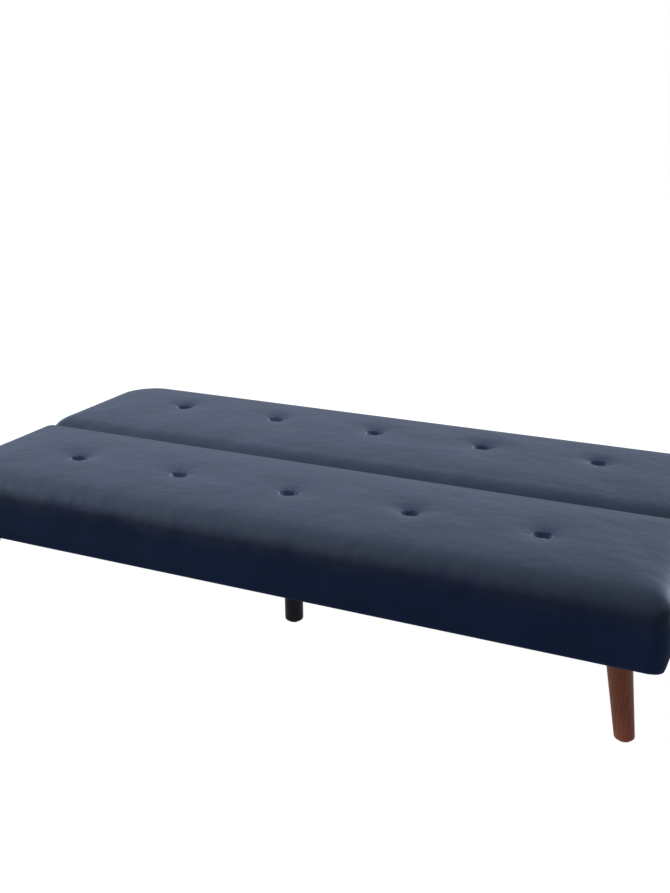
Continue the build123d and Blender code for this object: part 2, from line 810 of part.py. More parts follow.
with BuildPart() as leg_plates:
    with BuildSketch(Plane.XY.offset(leg_height)):
        with Locations(*plate_centres):
            Rectangle(plate_width, plate_length)
        with Locations(*plate_centres):
            Circle(bolt_radius + bolt_clearance, mode=Mode.SUBTRACT)
            with GridLocations(2 * plate_screw_x, 2 * plate_screw_y, 2, 2):
                Circle(plate_screw_radius, mode=Mode.SUBTRACT)
    extrude(amount=plate_thickness)
leg_plates.part.label = "leg_plates"
export_step(leg_plates.part, "parts/leg_plates.step")

with BuildPart() as leg_plate_screws:
    with BuildSketch(Plane.XY.offset(leg_height)):
        with Locations(*plate_centres):
            with GridLocations(2 * plate_screw_x, 2 * plate_screw_y, 2, 2):
                Circle(plate_screw_radius)
    extrude(amount=plate_screw_length)
    with BuildSketch(Plane.XY.offset(leg_height)):
        with Locations(*plate_centres):
            with GridLocations(2 * plate_screw_x, 2 * plate_screw_y, 2, 2):
                Circle(screw_head_radius)
    extrude(amount=-screw_head_height)
leg_plate_screws.part.label = "leg_plate_screws"
export_step(leg_plate_screws.part, "parts/leg_plate_screws.step")

leg_nut_bottom = tube_bottom + tube_wall
with BuildPart() as leg_bolts:
    with BuildSketch(Plane.XY.offset(leg_height - leg_bolt_depth)):
        with Locations(*plate_centres):
            Circle(bolt_radius)
    extrude(amount=leg_nut_bottom + nut_height + bolt_tail - leg_height + leg_bolt_depth)
leg_bolts.part.label = "leg_bolts"
export_step(leg_bolts.part, "parts/leg_bolts.step")

leg_feet = [(side * (tube_x + leg_splay_x), front_leg_y - leg_splay_y) for side in (-1, 1)]
leg_feet += [(side * (tube_x + leg_splay_x), rear_leg_y + leg_splay_y) for side in (-1, 1)]
with BuildPart() as foot_glides:
    with BuildSketch():
        with Locations(*leg_feet, (0, centre_leg_y)):
            Circle(glide_radius)
    extrude(amount=glide_height)
foot_glides.part.label = "foot_glides"
export_step(foot_glides.part, "parts/foot_glides.step")

# Click-clack hinges: the right one is drawn and the left one is its mirror image

pivot = (pivot_y, pivot_z)
pawl_pin = (pivot_y + pawl_pin_y, pivot_z - pawl_pin_drop)
plate_outer_x = hinge_plate_x + hinge_plate_thickness


def polar(radius, angle):
    turn = math.radians(angle)
    return (pivot_y + radius * math.cos(turn), pivot_z + radius * math.sin(turn))


with BuildPart() as hinge_lug_right:
    with BuildSketch(Plane.YZ.offset(lug_x)):
        with Locations(pivot):
            Circle(lug_width / 2)
        with Locations((pivot_y, (pivot_z + tube_bottom + lug_foot_gap) / 2)):
            Rectangle(lug_width, pivot_z - tube_bottom - lug_foot_gap)
        with Locations(pivot):
            Circle(pin_radius, mode=Mode.SUBTRACT)
        with Locations(pawl_pin):
            Circle(pawl_pin_radius, mode=Mode.SUBTRACT)
        with Locations(*[(y, tube_mid) for y in lug_bolt_ys]):
            Circle(bolt_radius + bolt_clearance, mode=Mode.SUBTRACT)
    extrude(amount=lug_thickness)
hinge_lug_right.part.label = "hinge_lug_right"
export_step(hinge_lug_right.part, "parts/hinge_lug_right.step")

with BuildPart() as hinge_lug_left:
    mirror(hinge_lug_right.part, about=Plane.YZ)
hinge_lug_left.part.label = "hinge_lug_left"
export_step(hinge_lug_left.part, "parts/hinge_lug_left.step")

with BuildPart() as hinge_pin_right:
    with BuildSketch(Plane.YZ.offset(lug_x)):
        with Locations(pivot):
            Circle(pin_head_radius)
    extrude(amount=-pin_head_height)
    with BuildSketch(Plane.YZ.offset(lug_x)):
        with Locations(pivot):
            Circle(pin_radius)
    extrude(amount=plate_outer_x + hinge_gap - lug_x)
    with BuildSketch(Plane.YZ.offset(plate_outer_x + hinge_gap)):
        with Locations(pivot):
            Circle(pin_rivet_radius)
    extrude(amount=pin_rivet_height)

with BuildPart() as hinge_pins:
    add(hinge_pin_right.part)
    mirror(hinge_pin_right.part, about=Plane.YZ)
hinge_pins.part.label = "hinge_pins"
export_step(hinge_pins.part, "parts/hinge_pins.step")

with BuildPart() as hinge_washer_right:
    with BuildSketch(Plane.YZ.offset(lug_outer_x)):
        with Locations(pivot):
            Circle(washer_radius)
            Circle(pin_radius + running_gap, mode=Mode.SUBTRACT)
    extrude(amount=washer_thickness)

with BuildPart() as hinge_washers:
    add(hinge_washer_right.part)
    mirror(hinge_washer_right.part, about=Plane.YZ)
hinge_washers.part.label = "hinge_washers"
export_step(hinge_washers.part, "parts/hinge_washers.step")

lug_bolt_places = [(y, tube_mid) for y in lug_bolt_ys]
tube_side_x = tube_x - tube_size / 2
with BuildPart() as lug_bolts_right:
    with BuildSketch(Plane.YZ.offset(tube_side_x)):
        with Locations(*lug_bolt_places):
            Circle(bolt_head_radius)
    extrude(amount=-bolt_head_height)
    with BuildSketch(Plane.YZ.offset(tube_side_x)):
        with Locations(*lug_bolt_places):
            Circle(bolt_radius)
    extrude(amount=lug_outer_x + nut_height + bolt_tail - tube_side_x)

with BuildPart() as hinge_lug_bolts:
    add(lug_bolts_right.part)
    mirror(lug_bolts_right.part, about=Plane.YZ)
hinge_lug_bolts.part.label = "hinge_lug_bolts"
export_step(hinge_lug_bolts.part, "parts/hinge_lug_bolts.step")

with BuildPart() as right_nuts:
    with BuildSketch(Plane.YZ.offset(lug_outer_x)):
        with Locations(*lug_bolt_places):
            RegularPolygon(nut_radius, 6)
            Circle(bolt_radius, mode=Mode.SUBTRACT)
    extrude(amount=nut_height)
    with BuildSketch(Plane.XY.offset(leg_nut_bottom)):
        with Locations((tube_x, front_leg_y), (tube_x, rear_leg_y)):
            RegularPolygon(nut_radius, 6)
            Circle(bolt_radius, mode=Mode.SUBTRACT)
    extrude(amount=nut_height)
    with BuildSketch(Plane.XY.offset(board_nut_top)):
        with Locations(*[(tube_x, y) for y in board_bolt_ys]):
            RegularPolygon(nut_radius, 6)
            Circle(bolt_radius, mode=Mode.SUBTRACT)
    extrude(amount=-nut_height)

with BuildPart() as frame_nuts:
    add(right_nuts.part)
    mirror(right_nuts.part, about=Plane.YZ)
frame_nuts.part.label = "frame_nuts"
export_step(frame_nuts.part, "parts/frame_nuts.step")

with BuildPart() as pawl_pin_right:
    with BuildSketch(Plane.YZ.offset(lug_x)):
        with Locations(pawl_pin):
            Circle(pawl_pin_radius)
    extrude(amount=plate_outer_x + hinge_gap - lug_x)
    with BuildSketch(Plane.YZ.offset(plate_outer_x + hinge_gap)):
        with Locations(pawl_pin):
            Circle(pawl_pin_head_radius)
    extrude(amount=pawl_pin_head_height)

with BuildPart() as pawl_pins:
    add(pawl_pin_right.part)
    mirror(pawl_pin_right.part, about=Plane.YZ)
pawl_pins.part.label = "pawl_pins"
export_step(pawl_pins.part, "parts/pawl_pins.step")

# The pawl stands clear of the toothed rim at rest and swings its tooth into a notch.
arm_end = polar(pawl_arm_radius, pawl_tooth_angle)
tooth_root = math.degrees(pawl_tooth_half / pawl_arm_radius)
tooth_tip_radius = ratchet_radius + pawl_tooth_gap
tooth_tip = math.degrees(pawl_tooth_half / tooth_tip_radius)
with BuildPart() as pawl_right:
    with BuildSketch(Plane.YZ.offset(hinge_plate_x)):
        with Locations(pawl_pin):
            Circle(pawl_boss_radius)
        with Locations(arm_end):
            Circle(pawl_arm_half)
        make_hull()
        with BuildLine():
            Polyline(
                polar(pawl_arm_radius, pawl_tooth_angle - tooth_root),
                polar(tooth_tip_radius, pawl_tooth_angle - tooth_tip),
                polar(tooth_tip_radius, pawl_tooth_angle + tooth_tip),
                polar(pawl_arm_radius, pawl_tooth_angle + tooth_root),
                close=True,
            )
        make_face()
        with Locations(pawl_pin):
            Circle(pawl_pin_radius + running_gap, mode=Mode.SUBTRACT)
    extrude(amount=hinge_plate_thickness)
pawl_right.part.label = "pawl_right"
export_step(pawl_right.part, "parts/pawl_right.step")

with BuildPart() as pawl_left:
    mirror(pawl_right.part, about=Plane.YZ)
pawl_left.part.label = "pawl_left"
export_step(pawl_left.part, "parts/pawl_left.step")

# A flat spring, riveted to the lug, that presses on the back of the pawl's arm.
spring_foot = Vector(pivot_y + pawl_spring_y, pivot_z - pawl_spring_drop)
arm_way = (Vector(*arm_end) - Vector(*pawl_pin)).normalized()
arm_out = Vector(-arm_way.Y, arm_way.X)
touch = Vector(*arm_end) + arm_out * (pawl_arm_half + pawl_spring_gap)
blade_way = (touch - spring_foot).normalized()
blade_side = Vector(-blade_way.Y, blade_way.X) * pawl_spring_thickness
with BuildPart() as pawl_spring_right:
    with BuildSketch(Plane.YZ.offset(lug_outer_x)):
        with Locations((spring_foot.X, spring_foot.Y)):
            Circle(pawl_spring_rivet)
    extrude(amount=plate_outer_x - lug_outer_x)
    with BuildSketch(Plane.YZ.offset(hinge_plate_x)):
        with BuildLine():
            Polyline(
                (spring_foot.X, spring_foot.Y),
                (touch.X, touch.Y),
                (touch.X + blade_side.X, touch.Y + blade_side.Y),
                (spring_foot.X + blade_side.X, spring_foot.Y + blade_side.Y),
                close=True,
            )
        make_face()
    extrude(amount=hinge_plate_thickness)

with BuildPart() as pawl_springs:
    add(pawl_spring_right.part)
    mirror(pawl_spring_right.part, about=Plane.YZ)
pawl_springs.part.label = "pawl_springs"
export_step(pawl_springs.part, "parts/pawl_springs.step")

# The hinge plate on the back has a notch for lying flat, one for reclining and a long one for sitting.
notches = [
    (pawl_tooth_angle, pawl_tooth_angle),
    (pawl_tooth_angle - recline_angle, pawl_tooth_angle - recline_angle),
    (pawl_tooth_angle - fold_angle, pawl_tooth_angle - sit_angle),
]
plate_screw_places = [(pivot_y + y, pivot_z - plate_screw_drop) for y in plate_screw_positions]
with BuildPart() as hinge_plate_right:
    with BuildSketch(Plane.YZ.offset(hinge_plate_x)):
        with Locations(pivot):
            Circle(ratchet_radius)
        with BuildLine():
            Polyline(
                (pivot_y + plate_arm_start, pivot_z - plate_arm_low),
                (pivot_y + plate_arm_end, pivot_z - plate_arm_low),
                (pivot_y + plate_arm_end, pivot_z - plate_arm_high),
                (pivot_y + plate_arm_start, pivot_z - plate_arm_high),
                close=True,
            )
        make_face()
        with Locations(pivot):
            Circle(bush_radius, mode=Mode.SUBTRACT)
        with Locations(*plate_screw_places):
            Circle(wood_screw_radius, mode=Mode.SUBTRACT)
        for first, last in notches:
            with BuildLine():
                Polyline(
                    polar(notch_floor_radius, first - notch_half_angle),
                    polar(notch_mouth_radius, first - notch_half_angle),
                    polar(notch_mouth_radius, (first + last) / 2),
                    polar(notch_mouth_radius, last + notch_half_angle),
                    polar(notch_floor_radius, last + notch_half_angle),
                    polar(notch_floor_radius, (first + last) / 2),
                    close=True,
                )
            make_face(mode=Mode.SUBTRACT)
    extrude(amount=hinge_plate_thickness)
hinge_plate_right.part.label = "hinge_plate_right"
export_step(hinge_plate_right.part, "parts/hinge_plate_right.step")

with BuildPart() as hinge_plate_left:
    mirror(hinge_plate_right.part, about=Plane.YZ)
hinge_plate_left.part.label = "hinge_plate_left"
export_step(hinge_plate_left.part, "parts/hinge_plate_left.step")

with BuildPart() as hinge_bush_right:
    with BuildSketch(Plane.YZ.offset(hinge_plate_x)):
        with Locations(pivot):
            Circle(bush_radius)
            Circle(pin_radius + running_gap, mode=Mode.SUBTRACT)
    extrude(amount=hinge_plate_thickness)

with BuildPart() as hinge_bushes:
    add(hinge_bush_right.part)
    mirror(hinge_bush_right.part, about=Plane.YZ)
hinge_bushes.part.label = "hinge_bushes"
export_step(hinge_bushes.part, "parts/hinge_bushes.step")

with BuildPart() as plate_screws_right:
    with BuildSketch(Plane.YZ.offset(hinge_plate_x)):
        with Locations(*plate_screw_places):
            Circle(wood_screw_head_radius)
    extrude(amount=-wood_screw_head_height)
    with BuildSketch(Plane.YZ.offset(hinge_plate_x)):
        with Locations(*plate_screw_places):
            Circle(wood_screw_radius)
    extrude(amount=wood_screw_length)

with BuildPart() as hinge_plate_screws:
    add(plate_screws_right.part)
    mirror(plate_screws_right.part, about=Plane.YZ)
hinge_plate_screws.part.label = "hinge_plate_screws"
export_step(hinge_plate_screws.part, "parts/hinge_plate_screws.step")

# Back section

back_outer_form = back_form(0)
back_inner_form = back_form(cover_thickness)
back_foam_form = back_form(form_inset)
back_open_half = frame_half - cover_flange
back_open_front = lower_rail_y - cover_flange
back_open_rear = back_frame_rear - cover_flange
back_open_corner = frame_corner - cover_flange
slot_half_angle = math.degrees(math.asin(lug_width / back_thickness))
slot_angles = (
    270 - fold_angle - slot_half_angle - slot_angle_margin,
    270 - fold_angle / 2,
    270 + slot_half_angle + slot_angle_margin,
)
slot_width = lug_thickness + 2 * slot_margin
slot_reach = 2 * nose_radius


def lug_slits():
    # The room that the hinge lugs sweep through the nose, from pointing down to pointing forward.
    with BuildPart() as slits:
        for side in (-1, 1):
            with BuildSketch(Plane.YZ.offset(side * (lug_x + lug_thickness / 2))):
                with BuildLine():
                    Polyline(pivot, *[polar(slot_reach, angle) for angle in slot_angles], close=True)
                make_face()
            extrude(amount=slot_width / 2, both=True)
    return slits.part


hinge_slits = lug_slits()

with BuildPart() as back_cover:
    add(back_outer_form)
    add(back_inner_form, mode=Mode.SUBTRACT)
    # The cover is turned under the frame, leaving the middle for the rear panel.
    with BuildSketch(Plane.XY.offset(back_bottom)):
        with BuildLine():
            plan_outline(back_open_half, back_open_front, back_open_rear, sharp_corner, back_open_corner)
        make_face()
    extrude(amount=cover_thickness, mode=Mode.SUBTRACT)
    with BuildSketch(Plane.XY.offset(back_button_z)):
        with Locations(*[(x, back_tuft_y) for x in tuft_xs]):
            Circle(twine_hole)
    extrude(amount=-tuft_depth, mode=Mode.SUBTRACT)
    add(hinge_slits, mode=Mode.SUBTRACT)
back_cover.part.label = "back_cover"
export_step(back_cover.part, "parts/back_cover.step")

with BuildPart() as back_foam:
    add(back_foam_form)
    with BuildSketch(Plane.XY.offset(back_bottom)):
        with BuildLine():
            plan_outline(
                frame_half + soft_gap,
                side_rail_front - soft_gap,
                back_frame_rear + soft_gap,
                sharp_corner,
                frame_corner + soft_gap,
            )
        make_face()
    extrude(amount=back_deck_z - back_bottom, mode=Mode.SUBTRACT)
    # Room for the nose board, and for the blocks behind it.
    with BuildSketch(Plane.YZ.offset(-nose_board_half - soft_gap)):
        with BuildLine():
            Polyline(
                (nose_board_y - soft_gap, pivot_z - nose_board_half_height - soft_gap),
                (side_rail_front, pivot_z - nose_board_half_height - soft_gap),
                (side_rail_front, pivot_z + nose_board_half_height + soft_gap),
                (nose_board_y - soft_gap, pivot_z + nose_board_half_height + soft_gap),
                close=True,
            )
        make_face()
    extrude(amount=2 * (nose_board_half + soft_gap), mode=Mode.SUBTRACT)
    # Pockets in which the hinges turn.
    for low_x in (pocket_inner_x, -pocket_outer_x):
        with BuildSketch(Plane.YZ.offset(low_x)):
            with Locations(pivot):
                Circle(pocket_radius)
            with Locations((pivot_y, pivot_z + pocket_rise + nose_radius)):
                Rectangle(4 * nose_radius, 2 * nose_radius, mode=Mode.SUBTRACT)
        extrude(amount=pocket_outer_x - pocket_inner_x, mode=Mode.SUBTRACT)
    add(hinge_slits, mode=Mode.SUBTRACT)
    with BuildSketch(Plane.XY.offset(back_cap)):
        with Locations(*[(x, back_tuft_y) for x in tuft_xs]):
            Circle(twine_hole)
    extrude(amount=back_deck_z - back_cap, mode=Mode.SUBTRACT)
back_foam.part.label = "back_foam"
export_step(back_foam.part, "parts/back_foam.step")

with BuildPart() as back_felt:
    with BuildSketch(Plane.XY.offset(back_felt_z)):
        with BuildLine():
            plan_outline(back_side_x, lower_rail_y, back_frame_rear, sharp_corner, frame_corner)
        make_face()
        with Locations(*[(x, back_tuft_y) for x in tuft_xs]):
            Circle(twine_hole, mode=Mode.SUBTRACT)
    extrude(amount=felt_thickness)
back_felt.part.label = "back_felt"
export_step(back_felt.part, "parts/back_felt.step")

back_spring_front = lower_rail_y + rail_thickness / 2
back_spring_rear = back_frame_rear - back_side_thickness / 2
plate_recess = hinge_plate_thickness + wood_screw_head_height + soft_gap
back_spring = zigzag_spring(back_spring_front, back_spring_rear, back_spring_z)
with BuildPart() as back_springs:
    with Locations(*[(x, 0, 0) for x in spring_xs]):
        add(back_spring)
back_springs.part.label = "back_springs"
export_step(back_springs.part, "parts/back_springs.step")

back_front_clip = spring_clip(back_spring_front, 1, back_spring_z)
back_rear_clip = spring_clip(back_spring_rear, -1, back_spring_z)
with BuildPart() as back_spring_clips:
    with Locations(*[(x, 0, 0) for x in spring_xs]):
        add(back_front_clip)
        add(back_rear_clip)
back_spring_clips.part.label = "back_spring_clips"
export_step(back_spring_clips.part, "parts/back_spring_clips.step")

with BuildPart() as back_lower_rail:
    with BuildSketch(Plane.XY.offset(back_rail_bottom)):
        with Locations((0, back_spring_front)):
            Rectangle(2 * back_side_x, rail_thickness)
    extrude(amount=back_rail_height)
    # The hinge plates and their screws lie along the side rails, so the lower rail is cut back for them.
    with BuildSketch(Plane.XY.offset(back_rail_top)):
        with Locations(*[(side * back_side_x, back_spring_front) for side in (-1, 1)]):
            Rectangle(2 * plate_recess, rail_thickness)
    extrude(amount=pivot_z - plate_arm_low - soft_gap - back_rail_top, mode=Mode.SUBTRACT)
back_lower_rail.part.label = "back_lower_rail"
export_step(back_lower_rail.part, "parts/back_lower_rail.step")

with BuildPart() as back_top_rail:
    with BuildSketch(Plane.XY.offset(back_rail_bottom)):
        with Locations((0, back_spring_rear)):
            Rectangle(2 * corner_x, back_side_thickness)
    extrude(amount=back_rail_height)
back_top_rail.part.label = "back_top_rail"
export_step(back_top_rail.part, "parts/back_top_rail.step")

with BuildPart() as back_side_rail_right:
    with BuildSketch(Plane.XY.offset(back_rail_bottom)):
        with Locations((back_side_x + back_side_thickness / 2, (side_rail_front + corner_y) / 2)):
            Rectangle(back_side_thickness, corner_y - side_rail_front)
    extrude(amount=back_rail_height)
    with BuildSketch(Plane.YZ.offset(back_side_x)):
        with Locations(*plate_screw_places):
            Circle(wood_screw_radius)
    extrude(amount=wood_screw_length - hinge_plate_thickness, mode=Mode.SUBTRACT)

with BuildPart() as back_side_rails:
    add(back_side_rail_right.part)
    mirror(back_side_rail_right.part, about=Plane.YZ)
back_side_rails.part.label = "back_side_rails"
export_step(back_side_rails.part, "parts/back_side_rails.step")

# Quarter rings that carry the wide round corners.
inner_corner = frame_corner - back_side_thickness
with BuildPart() as back_corner_block_right:
    with BuildSketch(Plane.XY.offset(back_rail_bottom)):
        with BuildLine():
            CenterArc((corner_x, corner_y), frame_corner, 0, 90)
            Line((corner_x, corner_y + frame_corner), (corner_x, corner_y + inner_corner))
            CenterArc((corner_x, corner_y), inner_corner, 0, 90)
            Line((corner_x + inner_corner, corner_y), (corner_x + frame_corner, corner_y))
        make_face()
    extrude(amount=back_rail_height)

with BuildPart() as back_corner_blocks:
    add(back_corner_block_right.part)
    mirror(back_corner_block_right.part, about=Plane.YZ)
back_corner_blocks.part.label = "back_corner_blocks"
export_step(back_corner_blocks.part, "parts/back_corner_blocks.step")

with BuildPart() as back_nose_board:
    with BuildSketch(Plane.XY.offset(pivot_z - nose_board_half_height)):
        with Locations((0, nose_board_y + rail_thickness / 2)):
            Rectangle(2 * nose_board_half, rail_thickness)
    extrude(amount=2 * nose_board_half_height)
back_nose_board.part.label = "back_nose_board"
export_step(back_nose_board.part, "parts/back_nose_board.step")

block_front = nose_board_y + rail_thickness
block_bottom = pivot_z - nose_board_half_height
with BuildPart() as back_nose_blocks:
    with BuildSketch(Plane.XY.offset(block_bottom)):
        with Locations(
            *[(side * x, (block_front + lower_rail_y) / 2) for side in (-1, 1) for x in nose_block_offsets]
        ):
            Rectangle(nose_block_width, lower_rail_y - block_front)
    extrude(amount=back_rail_top - block_bottom)
back_nose_blocks.part.label = "back_nose_blocks"
export_step(back_nose_blocks.part, "parts/back_nose_blocks.step")

cross_front = lower_rail_y + rail_thickness
cross_rear = back_frame_rear - back_side_thickness
with BuildPart() as back_cross_rails:
    with BuildSketch(Plane.XY.offset(back_rail_bottom)):
        with Locations(
            *[(side * cross_rail_offset, (cross_front + cross_rear) / 2) for side in (-1, 1)]
        ):
            Rectangle(rail_thickness, cross_rear - cross_front)
    extrude(amount=back_cross_height)
back_cross_rails.part.label = "back_cross_rails"
export_step(back_cross_rails.part, "parts/back_cross_rails.step")

with BuildPart() as back_buttons:
    with Locations(*[(x, back_tuft_y, back_button_z) for x in tuft_xs]):
        add(button)
back_buttons.part.label = "back_buttons"
export_step(back_buttons.part, "parts/back_buttons.step")

back_twine = button_twine(back_button_z - back_felt_z + toggle_thickness)
with BuildPart() as back_button_twines:
    with Locations(*[(x, back_tuft_y, back_button_z) for x in tuft_xs]):
        add(back_twine)
back_button_twines.part.label = "back_button_twines"
export_step(back_button_twines.part, "parts/back_button_twines.step")

with BuildPart() as back_twine_toggles:
    with Locations(*[(x, back_tuft_y, back_felt_z) for x in tuft_xs]):
        add(toggle)
back_twine_toggles.part.label = "back_twine_toggles"
export_step(back_twine_toggles.part, "parts/back_twine_toggles.step")

with BuildPart() as back_panel:
    with BuildSketch(Plane.XY.offset(back_bottom)):
        with BuildLine():
            plan_outline(
                back_open_half - soft_gap,
                back_open_front + soft_gap,
                back_open_rear - soft_gap,
                sharp_corner,
                back_open_corner - soft_gap,
            )
        make_face()
    extrude(amount=cover_thickness)
back_panel.part.label = "back_panel"
export_step(back_panel.part, "parts/back_panel.step")
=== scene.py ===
import json
import math

import bmesh
import bpy
from mathutils import Matrix, Vector, noise


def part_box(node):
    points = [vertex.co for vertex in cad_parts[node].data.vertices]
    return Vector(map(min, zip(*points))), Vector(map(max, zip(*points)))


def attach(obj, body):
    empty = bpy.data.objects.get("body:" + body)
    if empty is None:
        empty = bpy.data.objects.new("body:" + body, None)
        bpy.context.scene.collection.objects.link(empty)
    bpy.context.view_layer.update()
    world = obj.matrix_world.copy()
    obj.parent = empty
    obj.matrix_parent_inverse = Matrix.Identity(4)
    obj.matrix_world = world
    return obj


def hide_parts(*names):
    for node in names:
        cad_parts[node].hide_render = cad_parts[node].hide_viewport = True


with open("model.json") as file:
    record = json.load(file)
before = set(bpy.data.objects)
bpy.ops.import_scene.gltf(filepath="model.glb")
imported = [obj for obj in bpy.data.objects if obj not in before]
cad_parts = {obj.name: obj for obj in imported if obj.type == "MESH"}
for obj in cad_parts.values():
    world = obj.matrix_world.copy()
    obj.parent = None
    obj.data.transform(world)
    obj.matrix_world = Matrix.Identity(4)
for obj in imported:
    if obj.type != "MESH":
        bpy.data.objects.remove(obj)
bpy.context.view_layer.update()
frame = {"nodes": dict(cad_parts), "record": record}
nodes = frame["nodes"]
scene = bpy.context.scene
print("frame loaded:", len(nodes), "nodes")


# shader sockets with maths

class Wire:
    def __init__(self, tree, socket):
        self.tree = tree
        self.socket = socket

    def plug(self, target, value):
        if isinstance(value, Wire):
            self.tree.links.new(value.socket, target)
        else:
            target.default_value = value

    def make(self, kind, settings, links, out=0):
        node = self.tree.nodes.new(kind)
        for key, value in settings.items():
            setattr(node, key, value)
        for key, value in links.items():
            self.plug(node.inputs[key], value)
        return Wire(self.tree, node.outputs[out])

    def maths(self, operation, first, second):
        return self.make("ShaderNodeMath", {"operation": operation}, {0: first, 1: second})

    def __add__(self, other):
        return self.maths("ADD", self, other)

    def __radd__(self, other):
        return self.maths("ADD", other, self)

    def __rsub__(self, other):
        return self.maths("SUBTRACT", other, self)

    def __mul__(self, other):
        return self.maths("MULTIPLY", self, other)


def startMaterial(name, constants):
    mat = bpy.data.materials.new(name)
    mat.use_nodes = True
    tree = mat.node_tree
    shader = tree.nodes["Principled BSDF"]
    for key, value in constants.items():
        shader.inputs[key].default_value = value
    coord = tree.nodes.new("ShaderNodeTexCoord")
    return mat, shader, Wire(tree, coord.outputs["Object"])


def stretched(place, scale, turn=(0, 0, 0)):
    return place.make("ShaderNodeMapping", {}, {"Vector": place, "Scale": scale, "Rotation": turn})


def cloudy(place, scale, detail=3.0, roughness=0.5):
    return place.make("ShaderNodeTexNoise", {}, {"Vector": place, "Scale": scale, "Detail": detail,
                                                 "Roughness": roughness})


def between(value, low, high):
    return value.make("ShaderNodeMapRange", {"clamp": True},
                      {"Value": value, "From Min": low, "From Max": high})


def tinted(mask, dark, light):
    return mask.make("ShaderNodeMix", {"data_type": "RGBA"}, {0: mask, 6: (*dark, 1), 7: (*light, 1)}, 2)


def bumped(height, strength, distance):
    return height.make("ShaderNodeBump", {}, {"Strength": strength, "Distance": distance, "Height": height})


# finishes

velvetLook = {
    "dark": (0.0029, 0.0047, 0.0095),
    "light": (0.0038, 0.0062, 0.0125),
    "shadedDark": (0.0054, 0.0108, 0.0315),  # painted shade: a darker copy of the velvet with less sheen, on the lower borders and in the tufts
    "shadedLight": (0.0072, 0.0138, 0.0390),
    "shadedSheen": 0.18,
    # heights over which the painted shade on the borders fades out towards the top
    "shadeFadeLow": 0.254,
    "shadeFadeHigh": 0.316,
    "shadeFadeLift": 0.04,  # what the two noises add to a height on average
    # painted shadow colour deep in the tuft hollows, and how far it takes over
    "tuftShadow": (0.0010, 0.0013, 0.0026),
    "tuftShadowShare": 0.9,
    "sheen": 1.0,
    "sheenRough": 0.52,
    "sheenTint": (0.242, 0.285, 0.375, 1),
    "brushScale": 8.0,
    "patchScale": 23.0,
    "pileScale": 1400.0,
    "bump": 0.0062,
}


def velvetMaterial(name, look):
    mat, shader, place = startMaterial(name, {
        "Sheen Weight": look["sheen"], "Sheen Roughness": look["sheenRough"],
        "Sheen Tint": look["sheenTint"], "Specular IOR Level": 0.0,
    })
    turned = stretched(place, (1.0, 1.25, 1.0), (0, 0, 0.5))
    brushed = cloudy(turned, look["brushScale"])  # hand marks in the nap
    patches = cloudy(place, look["patchScale"])
    pile = cloudy(place, look["pileScale"], 2.0, 0.6)
    nap = between(brushed * 0.65 + patches * 0.35, 0.32, 0.68)
    rough = 0.78 + pile * 0.15
    normal = bumped(brushed + patches * 0.3 + pile * 0.03, 1.0, look["bump"])
    nap.plug(shader.inputs["Base Color"], tinted(nap, look["dark"], look["light"]))
    nap.plug(shader.inputs["Normal"], normal)
    nap.plug(shader.inputs["Roughness"], rough)
    # painted shade in and round the tuft hollows, kept on the points, darkens the base nearly to black
    tuftShade = place.make("ShaderNodeAttribute", {"attribute_name": "tuftShade"}, {}, 2)
    deep = place.make("ShaderNodeMix", {"data_type": "RGBA"}, {
        0: tuftShade * look["tuftShadowShare"], 6: tinted(nap, look["shadedDark"], look["shadedLight"]),
        7: (*look["tuftShadow"], 1)}, 2)
    # the shaded copy of the velvet, darker and with less sheen: painted shade
    shadedVelvet = place.make("ShaderNodeBsdfPrincipled", {}, {
        "Base Color": deep, "Roughness": rough, "Normal": normal,
        "Sheen Weight": look["shadedSheen"], "Sheen Roughness": look["sheenRough"],
        "Sheen Tint": look["sheenTint"], "Specular IOR Level": 0.0,
    })
    # the top keeps the full sheen; lower down, and in the tufts, the painted shaded copy takes over
    height = place.make("ShaderNodeSeparateXYZ", {}, {0: place}, 2)
    litTop = between(height + brushed * 0.05 + patches * 0.03,
                     look["shadeFadeLow"] + look["shadeFadeLift"], look["shadeFadeHigh"] + look["shadeFadeLift"])
    litVelvet = Wire(place.tree, shader.outputs[0])
    mixed = place.make("ShaderNodeMixShader", {}, {0: litTop * (1 - tuftShade), 1: shadedVelvet, 2: litVelvet})
    place.tree.links.new(mixed.socket, place.tree.nodes["Material Output"].inputs["Surface"])
    return mat


walnutLook = {
    "dark": (0.128, 0.0355, 0.0185),
    "light": (0.188, 0.0530, 0.0270),
    "rough": 0.42,
    "poreRough": 0.16,
    "drawnOut": 0.07,
    "warpScale": 18.0,
    "ringScale": 38.0,
    "ringBend": 7.0,
    "poreDrawnOut": 0.02,
    "poreScale": 900.0,
    "bump": 0.0004,
}


def walnutMaterial(name, look):
    mat, shader, place = startMaterial(name, {
        "Specular IOR Level": 0.18, "Coat Weight": 0.04, "Coat Roughness": 0.3,
    })
    along = stretched(place, (1.0, 1.0, look["drawnOut"]))
    warp = cloudy(along, look["warpScale"])
    rings = place.make("ShaderNodeTexWave", {"wave_type": "BANDS", "bands_direction": "X"},
                       {"Vector": along, "Scale": look["ringScale"], "Distortion": look["ringBend"],
                        "Detail": 3.0, "Detail Scale": 1.6}, 1)
    pores = cloudy(stretched(place, (1.0, 1.0, look["poreDrawnOut"])), look["poreScale"], 2.0, 0.6)
    grain = between(rings * 0.45 + warp * 0.6 + pores * 0.25, 0.3, 0.95)
    grain.plug(shader.inputs["Base Color"], tinted(grain, look["dark"], look["light"]))
    grain.plug(shader.inputs["Roughness"], look["rough"] + pores * look["poreRough"])
    grain.plug(shader.inputs["Normal"], bumped(pores + rings * 0.3, 0.35, look["bump"]))
    return mat


timberLook = {
    "dark": (0.36, 0.22, 0.11),
    "light": (0.56, 0.39, 0.22),
    "rough": 0.6,
    "fibreRough": 0.2,
    "drawnOut": 0.12,
    "fibreScale": 60.0,
    "boardScale": 4.0,
    "bump": 0.0006,
}


